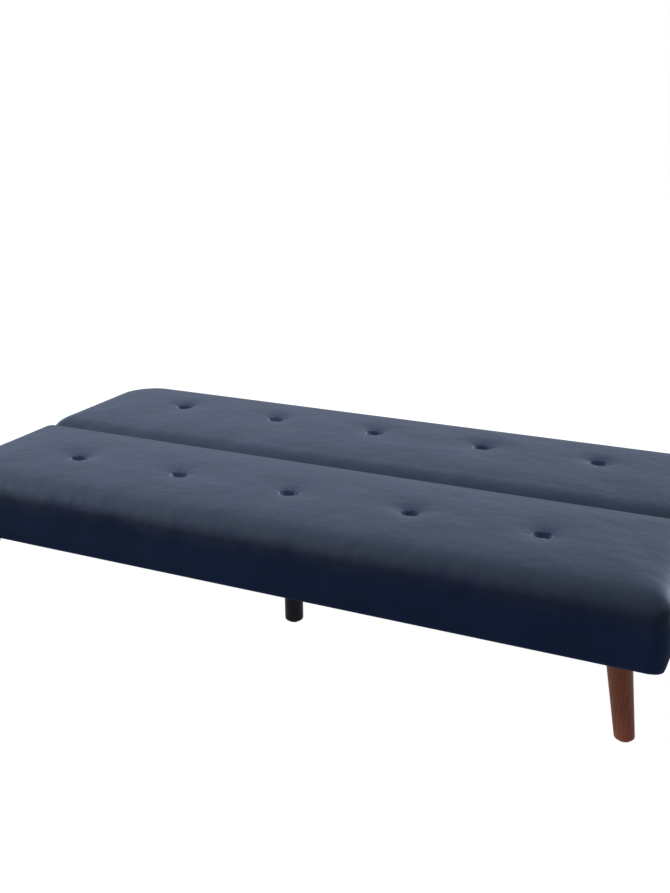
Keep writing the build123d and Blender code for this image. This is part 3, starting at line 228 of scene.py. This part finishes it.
def timberMaterial(name, look):
    mat, shader, place = startMaterial(name, {})
    fibre = cloudy(stretched(place, (look["drawnOut"], 1.0, 1.0)), look["fibreScale"], 4.0, 0.6)
    board = cloudy(place, look["boardScale"], 2.0, 0.5)
    grain = between(fibre * 0.7 + board * 0.3, 0.3, 0.7)
    grain.plug(shader.inputs["Base Color"], tinted(grain, look["dark"], look["light"]))
    grain.plug(shader.inputs["Roughness"], look["rough"] + fibre * look["fibreRough"])
    grain.plug(shader.inputs["Normal"], bumped(fibre, 0.4, look["bump"]))
    return mat


paintGrain = {"peelScale": 420.0, "cloudScale": 14.0, "cloudRough": 0.12, "bump": 0.0003}


def paintMaterial(name, dark, light, rough, shine):
    mat, shader, place = startMaterial(name, {"Specular IOR Level": shine})
    peel = cloudy(place, paintGrain["peelScale"], 2.0, 0.5)
    cloud = cloudy(place, paintGrain["cloudScale"])
    cloud.plug(shader.inputs["Base Color"], tinted(between(cloud, 0.35, 0.65), dark, light))
    cloud.plug(shader.inputs["Roughness"], rough + cloud * paintGrain["cloudRough"])
    cloud.plug(shader.inputs["Normal"], bumped(peel, 0.25, paintGrain["bump"]))
    return mat


steelGrain = {"drawnOut": 12.0, "drawnScale": 60.0, "drawnRough": 0.18, "cloudScale": 30.0, "bump": 0.0002}


def steelMaterial(name, dark, light, rough):
    mat, shader, place = startMaterial(name, {"Metallic": 1.0})
    along = stretched(place, (1.0, steelGrain["drawnOut"], steelGrain["drawnOut"]))
    drawn = cloudy(along, steelGrain["drawnScale"], 3.0, 0.6)
    cloud = cloudy(place, steelGrain["cloudScale"])
    cloud.plug(shader.inputs["Base Color"], tinted(between(cloud, 0.35, 0.65), dark, light))
    cloud.plug(shader.inputs["Roughness"], rough + drawn * steelGrain["drawnRough"])
    cloud.plug(shader.inputs["Normal"], bumped(drawn, 0.15, steelGrain["bump"]))
    return mat


weaveGrain = {"sheen": 0.15, "sheenRough": 0.5, "cloudScale": 18.0, "weaveRough": 0.1, "bump": 0.0004}


def clothMaterial(name, dark, light, threads, rough):
    mat, shader, place = startMaterial(name, {
        "Sheen Weight": weaveGrain["sheen"], "Sheen Roughness": weaveGrain["sheenRough"],
    })
    lines = [place.make("ShaderNodeTexWave", {"bands_direction": axis},
                        {"Vector": place, "Scale": threads}, 1) for axis in "XY"]
    cloud = cloudy(place, weaveGrain["cloudScale"])
    weave = lines[0] * lines[1]
    fleck = between(cloud * 0.6 + weave * 0.4, 0.2, 0.7)
    cloud.plug(shader.inputs["Base Color"], tinted(fleck, dark, light))
    cloud.plug(shader.inputs["Roughness"], rough + weave * weaveGrain["weaveRough"])
    cloud.plug(shader.inputs["Normal"], bumped(weave, 0.4, weaveGrain["bump"]))
    return mat


velvet = velvetMaterial("navyVelvet", velvetLook)
walnut = walnutMaterial("walnut", walnutLook)
timber = timberMaterial("frameTimber", timberLook)
blackLacquer = paintMaterial("blackLacquer", (0.0028, 0.0017, 0.0052), (0.0046, 0.0030, 0.0088), 0.38, 0.10)
blackSteel = paintMaterial("blackSteel", (0.008, 0.008, 0.009), (0.016, 0.016, 0.018), 0.42, 0.35)
blackPlastic = paintMaterial("blackPlastic", (0.010, 0.010, 0.011), (0.02, 0.02, 0.021), 0.55, 0.4)
paleNylon = paintMaterial("paleNylon", (0.62, 0.61, 0.56), (0.74, 0.73, 0.68), 0.42, 0.5)
restRubber = paintMaterial("restRubber", (0.012, 0.012, 0.012), (0.022, 0.022, 0.022), 0.72, 0.3)
platedSteel = steelMaterial("platedSteel", (0.42, 0.42, 0.41), (0.6, 0.6, 0.58), 0.28)
springWire = steelMaterial("springWire", (0.2, 0.2, 0.21), (0.34, 0.34, 0.35), 0.36)
greyFelt = clothMaterial("greyFelt", (0.09, 0.09, 0.092), (0.17, 0.17, 0.172), 210.0, 0.9)
waxedTwine = clothMaterial("waxedTwine", (0.03, 0.035, 0.045), (0.06, 0.066, 0.08), 900.0, 0.7)
dustWeave = clothMaterial("dustWeave", (0.008, 0.008, 0.009), (0.022, 0.022, 0.024), 320.0, 0.85)
paleFoam = clothMaterial("paleFoam", (0.6, 0.54, 0.36), (0.72, 0.66, 0.48), 120.0, 0.9)

slotFinish = {
    "velvet": velvet, "foam": paleFoam, "felt": greyFelt, "twine": waxedTwine, "dust_cloth": dustWeave,
    "timber": timber, "walnut": walnut, "black_leg": blackLacquer, "black_steel": blackSteel,
    "plated_steel": platedSteel, "spring_wire": springWire, "black_plastic": blackPlastic,
    "nylon": paleNylon, "rest_rubber": restRubber,
}
for row in frame["record"]["subparts"]:
    nodes[row["node"]].data.materials.clear()
    nodes[row["node"]].data.materials.append(slotFinish[row["material_slot"]])
print("finishes made:", len(slotFinish))


# shared piece helpers

def pieceFromMesh(name, mesh, finish):
    piece = bpy.data.objects.new(name, mesh)
    scene.collection.objects.link(piece)
    mesh.materials.clear()
    mesh.materials.append(finish)
    return piece


def pieceFromBmesh(name, bm, finish):
    mesh = bpy.data.meshes.new(name)
    bm.to_mesh(mesh)
    bm.free()
    piece = pieceFromMesh(name, mesh, finish)
    mesh.shade_smooth()
    return piece


def bakeModifiers(piece):
    bpy.context.view_layer.update()
    graph = bpy.context.evaluated_depsgraph_get()
    mesh = bpy.data.meshes.new_from_object(piece.evaluated_get(graph))
    piece.modifiers.clear()
    old = piece.data
    piece.data = mesh
    bpy.data.meshes.remove(old)


# upholstered cushions: full form, cloth under pressure with the buttons held down, then the sewn hollows

tuftPlan = {
    "spacing": 0.310,
    "count": 5,
    "heldRadius": 0.017,
    "dishRadius": 0.078,
    "dishDepth": 0.015,
    "dishStray": (0.3, 0.9),  # share of the radius, and how fast it changes round the button
    "nearShare": 0.55,
    "lipBand": 0.03,
    # painted shade round each hollow, reaching furthest on the far side
    "shade": 0.52,
    "shadeReach": (0.034, 0.046, 0.012),  # to the sides, away and near
    "shadeEdge": 1.15,
    "floorRadius": 0.0115,
    "bedding": 0.001,  # hollow's floor above the button's base
    "wall": 0.0095,
    "wallShade": 1.2,
    "sideWall": 0.45,
    "ragged": 0.35,
    "raggedScale": 90,
    "reach": 0.12,
    "fineReach": (0.10, 0.045),
    "creases": 7,
    "creaseStray": 1.1,
    "creaseLeast": 0.3,
    "creaseAcross": 0.35,  # weight of a crease at a right angle to the row of buttons
    "creaseStart": 0.012,
    "creaseLength": (0.035, 0.04),
    "creaseDepth": 0.0032,
    "creaseWidth": 0.0055,
}

seatCushion = {
    "name": "seatCushion", "body": "base", "stands": ("seat_cover", "seat_foam"), "slot": "velvet",
    "buttons": "seat_buttons", "tuftY": -0.247, "fullEnds": 0.006, "hang": 0.004, "seam": (-0.019, 0.05),
    "cap": 0.014, "heldBottom": 0.006, "seed": 3, "opening": (0.865, -0.410, -0.050, 0.001),
}
backCushion = {
    "name": "backCushion", "body": "backrest", "stands": ("back_cover", "back_foam"), "slot": "velvet",
    "buttons": "back_buttons", "tuftY": 0.255, "fullEnds": -0.001, "hang": 0.0, "seam": (-0.0146, 0.11),
    "cap": 0.013, "heldBottom": 0.006, "seed": 11, "opening": (0.865, 0.081, 0.410, 0.090),
}
clothSetup = {
    "weld": 0.0005, "voxel": 0.007, "quality": 5, "frames": 14, "pressure": 4.0, "mass": 0.25,
    "tension": 18.0, "shear": 8.0, "bend": 1.5, "foamHold": 0.16, "underside": 0.0035,
    "edgeBand": 0.02, "edgeHeight": 0.03, "rampStart": 0.001, "rampRun": 0.008,
}


def smoothFall(value):
    value = min(max(value, 0.0), 1.0)
    return value * value * (3 - 2 * value)


def fullForm(plan):
    # the outer skin of the solid without its hollows, with its ends a little fuller or drawn in
    source = nodes[plan["stands"][0]].data
    bm = bmesh.new()
    for vert in source.vertices:
        bm.verts.new(vert.co)
    bmesh.ops.remove_doubles(bm, verts=bm.verts, dist=clothSetup["weld"])
    hull = bmesh.ops.convex_hull(bm, input=bm.verts)
    spare = hull["geom_interior"] + hull["geom_unused"]
    loose = {item for item in spare if isinstance(item, bmesh.types.BMVert)}
    bmesh.ops.delete(bm, geom=list(loose), context="VERTS")
    low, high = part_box(plan["stands"][0])
    middle, half = (low + high) / 2, (high - low) / 2
    for vert in bm.verts:
        vert.co.x += plan["fullEnds"] * (vert.co.x - middle.x) / half.x
    bmesh.ops.recalc_face_normals(bm, faces=bm.faces)
    return bm


def tuftCentres(plan):
    half = (tuftPlan["count"] - 1) / 2
    return [((k - half) * tuftPlan["spacing"], plan["tuftY"]) for k in range(tuftPlan["count"])]


def dishAt(plan, number, arm):
    # the pull of one button on the cloth round it, a little uneven from side to side
    angle = math.atan2(arm.y, arm.x)
    stray, pace = tuftPlan["dishStray"]
    uneven = noise.noise((math.cos(angle) * pace, math.sin(angle) * pace, number * 2.7 + plan["seed"]))
    radius = tuftPlan["dishRadius"] * (1 + stray * uneven)
    lip = smoothFall(0.5 - arm.y / tuftPlan["lipBand"])  # the near lip stands higher
    share = 1 - (1 - tuftPlan["nearShare"]) * lip
    return tuftPlan["dishDepth"] * share * max(1 - arm.length / radius, 0) ** 2


def depthInOpening(plan, spot):
    # how far a point is inside the opening of the underside, below zero under the turned-in edge
    half, front, rear, corner = plan["opening"]
    x, y = abs(spot.x), spot.y
    over = Vector((x - half + corner, y - rear + corner))
    if min(over) > 0:
        return corner - over.length
    return min(half - x, y - front, rear - y)


def simulate(piece, held):
    mod = piece.modifiers.new("cloth", "CLOTH")
    cloth = mod.settings
    cloth.quality = clothSetup["quality"]
    cloth.mass = clothSetup["mass"]
    cloth.air_damping = 1.0
    cloth.tension_stiffness = clothSetup["tension"]
    cloth.compression_stiffness = clothSetup["tension"]
    cloth.shear_stiffness = clothSetup["shear"]
    cloth.bending_stiffness = clothSetup["bend"]
    cloth.use_pressure = True
    cloth.uniform_pressure_force = clothSetup["pressure"]
    cloth.effector_weights.gravity = 0.0
    cloth.vertex_group_mass = held.name
    cloth.pin_stiffness = 1.0
    mod.collision_settings.use_collision = False
    mod.point_cache.frame_start = 1
    mod.point_cache.frame_end = clothSetup["frames"]
    for step in range(1, clothSetup["frames"] + 1):
        scene.frame_set(step)
    bakeModifiers(piece)
    scene.frame_set(1)


def makeCushion(plan):
    piece = pieceFromBmesh(plan["name"], fullForm(plan), velvet)
    remesh = piece.modifiers.new("remesh", "REMESH")
    remesh.mode = "VOXEL"
    remesh.voxel_size = clothSetup["voxel"]
    bakeModifiers(piece)
    low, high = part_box(plan["stands"][0])
    centres = [Vector(c) for c in tuftCentres(plan)]
    seamY, seamReach = plan["seam"]
    held = piece.vertex_groups.new(name="held")
    start = []
    for vert in piece.data.vertices:
        hold = max(clothSetup["foamHold"], 1 - smoothFall(abs(vert.co.y - seamY) / seamReach))
        if vert.co.z > (low.z + high.z) / 2:
            for number, centre in enumerate(centres):
                vert.co.z -= dishAt(plan, number, vert.co.xy - centre)
            if min((vert.co.xy - c).length for c in centres) < tuftPlan["heldRadius"]:
                hold = 1.0
        if vert.co.z < low.z + plan["heldBottom"]:
            hold = 1.0
        held.add([vert.index], hold, "REPLACE")
        start.append(vert.co.copy())
    simulate(piece, held)
    moves = sorted((vert.co - before).length for vert, before in zip(piece.data.vertices, start))
    print(plan["name"], "moved", round(moves[len(moves) // 2], 4), "to", round(moves[-1], 4))
    for vert, before in zip(piece.data.vertices, start):
        move = vert.co - before
        if move.length > plan["cap"]:
            move *= plan["cap"] / move.length
        vert.co = before + move
        vert.co.x = min(max(vert.co.x, low.x - plan["fullEnds"]), high.x + plan["fullEnds"])
        vert.co.y = min(max(vert.co.y, low.y), high.y)
    # the turned-in edge hangs a little, and a cloth panel closes the opening inside it
    for vert in piece.data.vertices:
        inside = depthInOpening(plan, vert.co)
        lower = 1 - smoothFall((vert.co.z - low.z) / clothSetup["edgeHeight"])
        vert.co.z -= plan["hang"] * smoothFall(-inside / clothSetup["edgeBand"]) * lower
        if vert.co.z < low.z + clothSetup["voxel"] / 2:
            ramp = smoothFall((inside + clothSetup["rampStart"]) / clothSetup["rampRun"])
            vert.co.z += (low.z + clothSetup["underside"] - vert.co.z) * ramp
    piece.vertex_groups.clear()
    print(plan["name"], "shaped:", len(piece.data.vertices), "points")
    return piece, centres


def creaseMarks(plan, number):
    # direction, length and weight of the creases that run out from one button
    marks = []
    shortest, more = tuftPlan["creaseLength"]
    least, across = tuftPlan["creaseLeast"], tuftPlan["creaseAcross"]
    for k in range(tuftPlan["creases"]):
        turn = k * math.tau / tuftPlan["creases"]
        turn += tuftPlan["creaseStray"] * noise.noise((number * 3.1 + plan["seed"], k * 1.7, 0.4))
        size = 0.5 + 0.5 * noise.noise((number * 2.3, k * 2.9, plan["seed"] + 0.7))
        weight = (least + (1 - least) * size) * (across + (1 - across) * abs(math.cos(turn)))
        marks.append((turn, shortest + more * size, weight))
    return marks


def sewTufts(piece, plan, centres):
    low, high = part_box(plan["stands"][0])
    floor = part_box(plan["buttons"])[0].z + tuftPlan["bedding"]
    floorRadius = tuftPlan["floorRadius"]
    sides, away, near = tuftPlan["shadeReach"]
    raggedScale = tuftPlan["raggedScale"]
    bm = bmesh.new()
    bm.from_mesh(piece.data)
    upper = (low.z + high.z) / 2
    # a painted shade mask on the points, read by the velvet
    tuftShade = bm.verts.layers.float.new("tuftShade")
    for reach in tuftPlan["fineReach"]:  # finer cloth round each button
        edges = [e for e in bm.edges if all(
            v.co.z > upper and min((v.co.xy - c).length for c in centres) < reach for v in e.verts)]
        bmesh.ops.subdivide_edges(bm, edges=edges, cuts=1, use_grid_fill=True, smooth=0.0)
    for number, centre in enumerate(centres):
        marks = creaseMarks(plan, number)
        for vert in bm.verts:
            arm = vert.co.xy - centre
            reach = arm.length
            if vert.co.z < upper or reach > tuftPlan["reach"]:
                continue
            angle = math.atan2(arm.y, arm.x)
            for turn, length, weight in marks:
                off = math.sin(angle - turn) * reach
                ahead = math.cos(angle - turn) * reach
                if ahead > 0:
                    fade = smoothFall(1 - ahead / length) * smoothFall(ahead / tuftPlan["creaseStart"])
                    across = math.exp(-(off / tuftPlan["creaseWidth"]) ** 2)
                    vert.co.z -= tuftPlan["creaseDepth"] * weight * fade * across
            rag = noise.noise((arm.x * raggedScale, arm.y * raggedScale, number + 0.5))
            wall = tuftPlan["wall"] * (
                1 + tuftPlan["sideWall"] * math.cos(angle) ** 2 + tuftPlan["ragged"] * rag)
            up = min(max((reach - floorRadius) / wall, 0), 1)
            vert.co.z += (floor - vert.co.z) * (1 - up * up)
            # painted shade: full on the hollow's wall, fading out round it
            spread = Vector((arm.x / sides, arm.y / (away if arm.y > 0 else near))).length
            shade = tuftPlan["shade"] * smoothFall(tuftPlan["shadeEdge"] - spread)
            outside = smoothFall((reach - floorRadius) / (wall * tuftPlan["wallShade"]))
            vert[tuftShade] = max(1 - outside, shade)
    bmesh.ops.recalc_face_normals(bm, faces=bm.faces)
    bm.to_mesh(piece.data)
    bm.free()
    piece.data.shade_smooth()


# the back's nose is hollow at each hinge, with a slit where the standing lug sweeps through

hingeRoom = {
    "pivot": (0.050, 0.279), "pocket": (0.822, 0.8486), "pocketRadius": 0.060, "pocketTop": 0.036,
    "segments": 48, "slit": (0.831, 0.842), "slitReach": 0.130, "slitAngles": (156.8, 225.0, 293.2),
}


def cutAway(piece, bm):
    bmesh.ops.recalc_face_normals(bm, faces=bm.faces)
    cutter = pieceFromBmesh(piece.name + "Cutter", bm, velvet)
    mod = piece.modifiers.new("cut", "BOOLEAN")
    mod.operation = "DIFFERENCE"
    mod.solver = "EXACT"
    mod.object = cutter
    bakeModifiers(piece)
    spare = cutter.data
    bpy.data.objects.remove(cutter)
    bpy.data.meshes.remove(spare)


def cutHingeRoom(piece, plan):
    y, z = plan["pivot"]
    inner, outer = plan["pocket"]
    pockets = bmesh.new()
    lying = Matrix.Rotation(math.pi / 2, 4, "Y")
    for side in (-1, 1):
        place = Matrix.Translation((side * (inner + outer) / 2, y, z)) @ lying
        bmesh.ops.create_cone(pockets, cap_ends=True, segments=plan["segments"],
                              radius1=plan["pocketRadius"], radius2=plan["pocketRadius"],
                              depth=outer - inner, matrix=place)
    bmesh.ops.bisect_plane(pockets, geom=pockets.verts[:] + pockets.edges[:] + pockets.faces[:],
                           plane_co=(0, y, z + plan["pocketTop"]), plane_no=(0, 0, 1), clear_outer=True)
    bmesh.ops.holes_fill(pockets, edges=pockets.edges)
    cutAway(piece, pockets)
    slits = bmesh.new()
    for side in (-1, 1):
        rim = [slits.verts.new((side * plan["slit"][0], y, z))]
        for angle in plan["slitAngles"]:
            turn = math.radians(angle)
            rim.append(slits.verts.new((side * plan["slit"][0], y + plan["slitReach"] * math.cos(turn),
                                        z + plan["slitReach"] * math.sin(turn))))
        wall = slits.faces.new(rim)
        grown = bmesh.ops.extrude_face_region(slits, geom=[wall])
        bmesh.ops.translate(slits, vec=(side * (plan["slit"][1] - plan["slit"][0]), 0, 0),
                            verts=[v for v in grown["geom"] if isinstance(v, bmesh.types.BMVert)])
    cutAway(piece, slits)


for plan in (seatCushion, backCushion):
    piece, centres = makeCushion(plan)
    sewTufts(piece, plan, centres)
    if plan is backCushion:
        cutHingeRoom(piece, hingeRoom)
    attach(piece, plan["body"])
    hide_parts(*plan["stands"])
    print(plan["name"], "done:", len(piece.data.polygons), "faces")


# cloth panels under the seat and behind the back

seatPanel = {
    "name": "seatDustCover", "node": "seat_dust_cover", "body": "base",
    "half": 0.8647, "front": -0.4097, "rear": -0.0503, "corner": 0.0, "low": 0.1702, "sag": 0.003,
    "rests": ("seat_front_rail", "seat_rear_rail"),
    "cuts": ((-0.819, -0.367), (0.819, -0.367), (0.0, -0.234)), "cutSize": (0.027, 0.044),
}
backPanel = {
    "name": "backPanelCloth", "node": "back_panel", "body": "backrest",
    "half": 0.8647, "front": 0.0813, "rear": 0.4097, "corner": 0.0897, "low": 0.2142, "sag": 0.002,
    "rests": ("back_lower_rail", "back_top_rail"),
    "cuts": (), "cutSize": (0.0, 0.0),
}
panelCloth = {
    "thick": 0.0009, "step": 0.022, "snap": 0.0002, "cornerSteps": 10,
    "pucker": 0.0007, "puckerPitch": 0.052, "puckerReach": 0.022,
}


def makePanel(plan):
    half, front, rear = plan["half"], plan["front"], plan["rear"]
    bm = bmesh.new()
    outline = ((-half, front), (half, front), (half, rear), (-half, rear))
    corners = [bm.verts.new((x, y, 0)) for x, y in outline]
    bm.faces.new(corners)
    if plan["corner"]:
        bmesh.ops.bevel(bm, geom=corners[2:], offset=plan["corner"], offset_type="OFFSET",
                        affect="VERTICES", segments=panelCloth["cornerSteps"], profile=0.5, material=-1)
    wide, deep = plan["cutSize"]
    columns = [x + side * wide for x, y in plan["cuts"] for side in (-1, 1)]
    rows = [y + side * deep for x, y in plan["cuts"] for side in (-1, 1)]
    count = round(2 * half / panelCloth["step"])
    columns += [-half + 2 * half * k / count for k in range(1, count)]
    count = round((rear - front) / panelCloth["step"])
    rows += [front + (rear - front) * k / count for k in range(1, count)]
    for normal, places in (((1, 0, 0), columns), ((0, 1, 0), rows)):
        for place in places:
            bmesh.ops.bisect_plane(bm, geom=bm.verts[:] + bm.edges[:] + bm.faces[:],
                                   dist=panelCloth["snap"], plane_co=Vector(normal) * place,
                                   plane_no=normal)
    holes = []
    for face in bm.faces:
        spot = face.calc_center_median()
        if any(abs(spot.x - x) < wide and abs(spot.y - y) < deep for x, y in plan["cuts"]):
            holes.append(face)
    bmesh.ops.delete(bm, geom=holes, context="FACES")
    area = sum(f.calc_area() for f in bm.faces)
    pitch, puckerReach = panelCloth["puckerPitch"], panelCloth["puckerReach"]
    for vert in bm.verts:
        x, y = vert.co.x, vert.co.y
        inX, inY = half - abs(x), min(y - front, rear - y)
        across = (1 - (x / half) ** 2) * (1 - ((2 * y - front - rear) / (rear - front)) ** 2)
        waves = math.cos(math.tau * x / pitch) * math.exp(-inY / puckerReach)
        waves += math.cos(math.tau * y / pitch) * math.exp(-inX / puckerReach)
        vert.co.z = plan["low"] - plan["sag"] * across + panelCloth["pucker"] * waves
    bmesh.ops.recalc_face_normals(bm, faces=bm.faces)
    bmesh.ops.solidify(bm, geom=bm.faces[:], thickness=panelCloth["thick"])
    bmesh.ops.recalc_face_normals(bm, faces=bm.faces)
    piece = pieceFromBmesh(plan["name"], bm, dustWeave)
    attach(piece, plan["body"])
    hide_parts(plan["node"])
    2 * half
    rear - front
    print(plan["name"], "flat area", round(area, 4))


for plan in (seatPanel, backPanel):
    makePanel(plan)


# covered buttons

buttonPlan = {
    "radius": 0.0125,
    "profile": (  # radius and height, from the base to the crown
        (0.0115, 0.0), (0.0125, 0.0012), (0.0121, 0.0028), (0.0100, 0.0054), (0.00625, 0.006975),
        (0.0, 0.0075),
    ),
    "turns": 40,
    "gather": 0.00025,
    "gathers": 11,
    "weld": 0.00005,
}


def makeButtons(name, node, body, plan):
    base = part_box(node)[0].z
    bm = bmesh.new()
    for number, centre in enumerate(tuftCentres(plan)):
        rim = [bm.verts.new((radius, 0, height)) for radius, height in buttonPlan["profile"]]
        edges = [bm.edges.new(pair) for pair in zip(rim, rim[1:])]
        bmesh.ops.spin(bm, geom=rim + edges, cent=(0, 0, 0), axis=(0, 0, 1), angle=math.tau,
                       steps=buttonPlan["turns"], use_merge=True)
        fresh = [v for v in bm.verts if not v.tag]
        for vert in fresh:
            angle = math.atan2(vert.co.y, vert.co.x)
            away = vert.co.xy.length / buttonPlan["radius"]
            folds = math.cos(buttonPlan["gathers"] * angle + number)
            vert.co.z += buttonPlan["gather"] * folds * away ** 3
            vert.tag = True
        bmesh.ops.translate(bm, vec=(centre[0], centre[1], base), verts=fresh)
    bmesh.ops.remove_doubles(bm, verts=bm.verts, dist=buttonPlan["weld"])
    bmesh.ops.recalc_face_normals(bm, faces=bm.faces)
    piece = pieceFromBmesh(name, bm, velvet)
    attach(piece, body)
    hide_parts(node)


makeButtons("seatButtons", "seat_buttons", "base", seatCushion)
makeButtons("backButtons", "back_buttons", "backrest", backCushion)
print("buttons done")


# camera as in the photograph, taken to be 670 by 893

photoView = {
    "focal": 1124.8, "longSide": 893, "sensor": 36.0, "clip": (0.05, 60.0),
    "azimuth": -0.4546, "elevation": 0.3201, "roll": -0.0100, "place": (1.1997, -2.4492, 1.2863),
}


def makeCamera(view):
    data = bpy.data.cameras.new("photoCamera")
    data.sensor_width = view["sensor"]
    data.lens = view["focal"] * view["sensor"] / view["longSide"]
    data.clip_start, data.clip_end = view["clip"]
    camera = bpy.data.objects.new("photoCamera", data)
    scene.collection.objects.link(camera)
    a, e = view["azimuth"], view["elevation"]
    ahead = Vector((math.sin(a) * math.cos(e), math.cos(a) * math.cos(e), -math.sin(e)))
    right = Vector((math.cos(a), -math.sin(a), 0))
    up = right.cross(ahead)
    turn = Matrix((right, up, -ahead)).transposed()
    rolled = turn @ Matrix.Rotation(view["roll"], 3, "Z")
    camera.matrix_world = Matrix.Translation(view["place"]) @ rolled.to_4x4()
    scene.camera = camera


makeCamera(photoView)


# plain pale floor and soft light

studio = {
    "floor": 40.0, "pale": (0.05, 0.07), "glow": 1.0, "seen": 1.0, "around": 0.10,
    "topPower": 410.0, "topSize": 1.7, "topPlace": (-0.4, -0.10, 3.2),
}


def makeStudio(plan):
    bm = bmesh.new()
    bmesh.ops.create_grid(bm, x_segments=2, y_segments=2, size=plan["floor"] / 2)
    floorMat, shader, place = startMaterial("paleFloor", {"Roughness": 0.9, "Specular IOR Level": 0.1})
    cloud = cloudy(place, 2.0, 2.0, 0.5)
    dark, light = [(shade,) * 3 for shade in plan["pale"]]
    cloud.plug(shader.inputs["Base Color"], tinted(cloud, dark, light))
    shader.inputs["Emission Color"].default_value = (1, 1, 1, 1)
    shader.inputs["Emission Strength"].default_value = plan["glow"]
    floor = pieceFromBmesh("floor", bm, floorMat)
    world = bpy.data.worlds.new("studio")
    world.use_nodes = True
    sky = world.node_tree.nodes["Background"]
    sky.inputs["Color"].default_value = (1, 1, 1, 1)
    path = world.node_tree.nodes.new("ShaderNodeLightPath")
    seen = Wire(world.node_tree, path.outputs["Is Camera Ray"])
    seen.plug(sky.inputs["Strength"], plan["around"] + seen * (plan["seen"] - plan["around"]))
    scene.world = world
    lamp = bpy.data.lights.new("topSoftbox", "AREA")
    lamp.energy = plan["topPower"]
    lamp.size = plan["topSize"]
    light = bpy.data.objects.new("topSoftbox", lamp)
    scene.collection.objects.link(light)
    light.location = plan["topPlace"]
    scene.view_settings.view_transform = "Standard"


makeStudio(studio)
print("stage done")
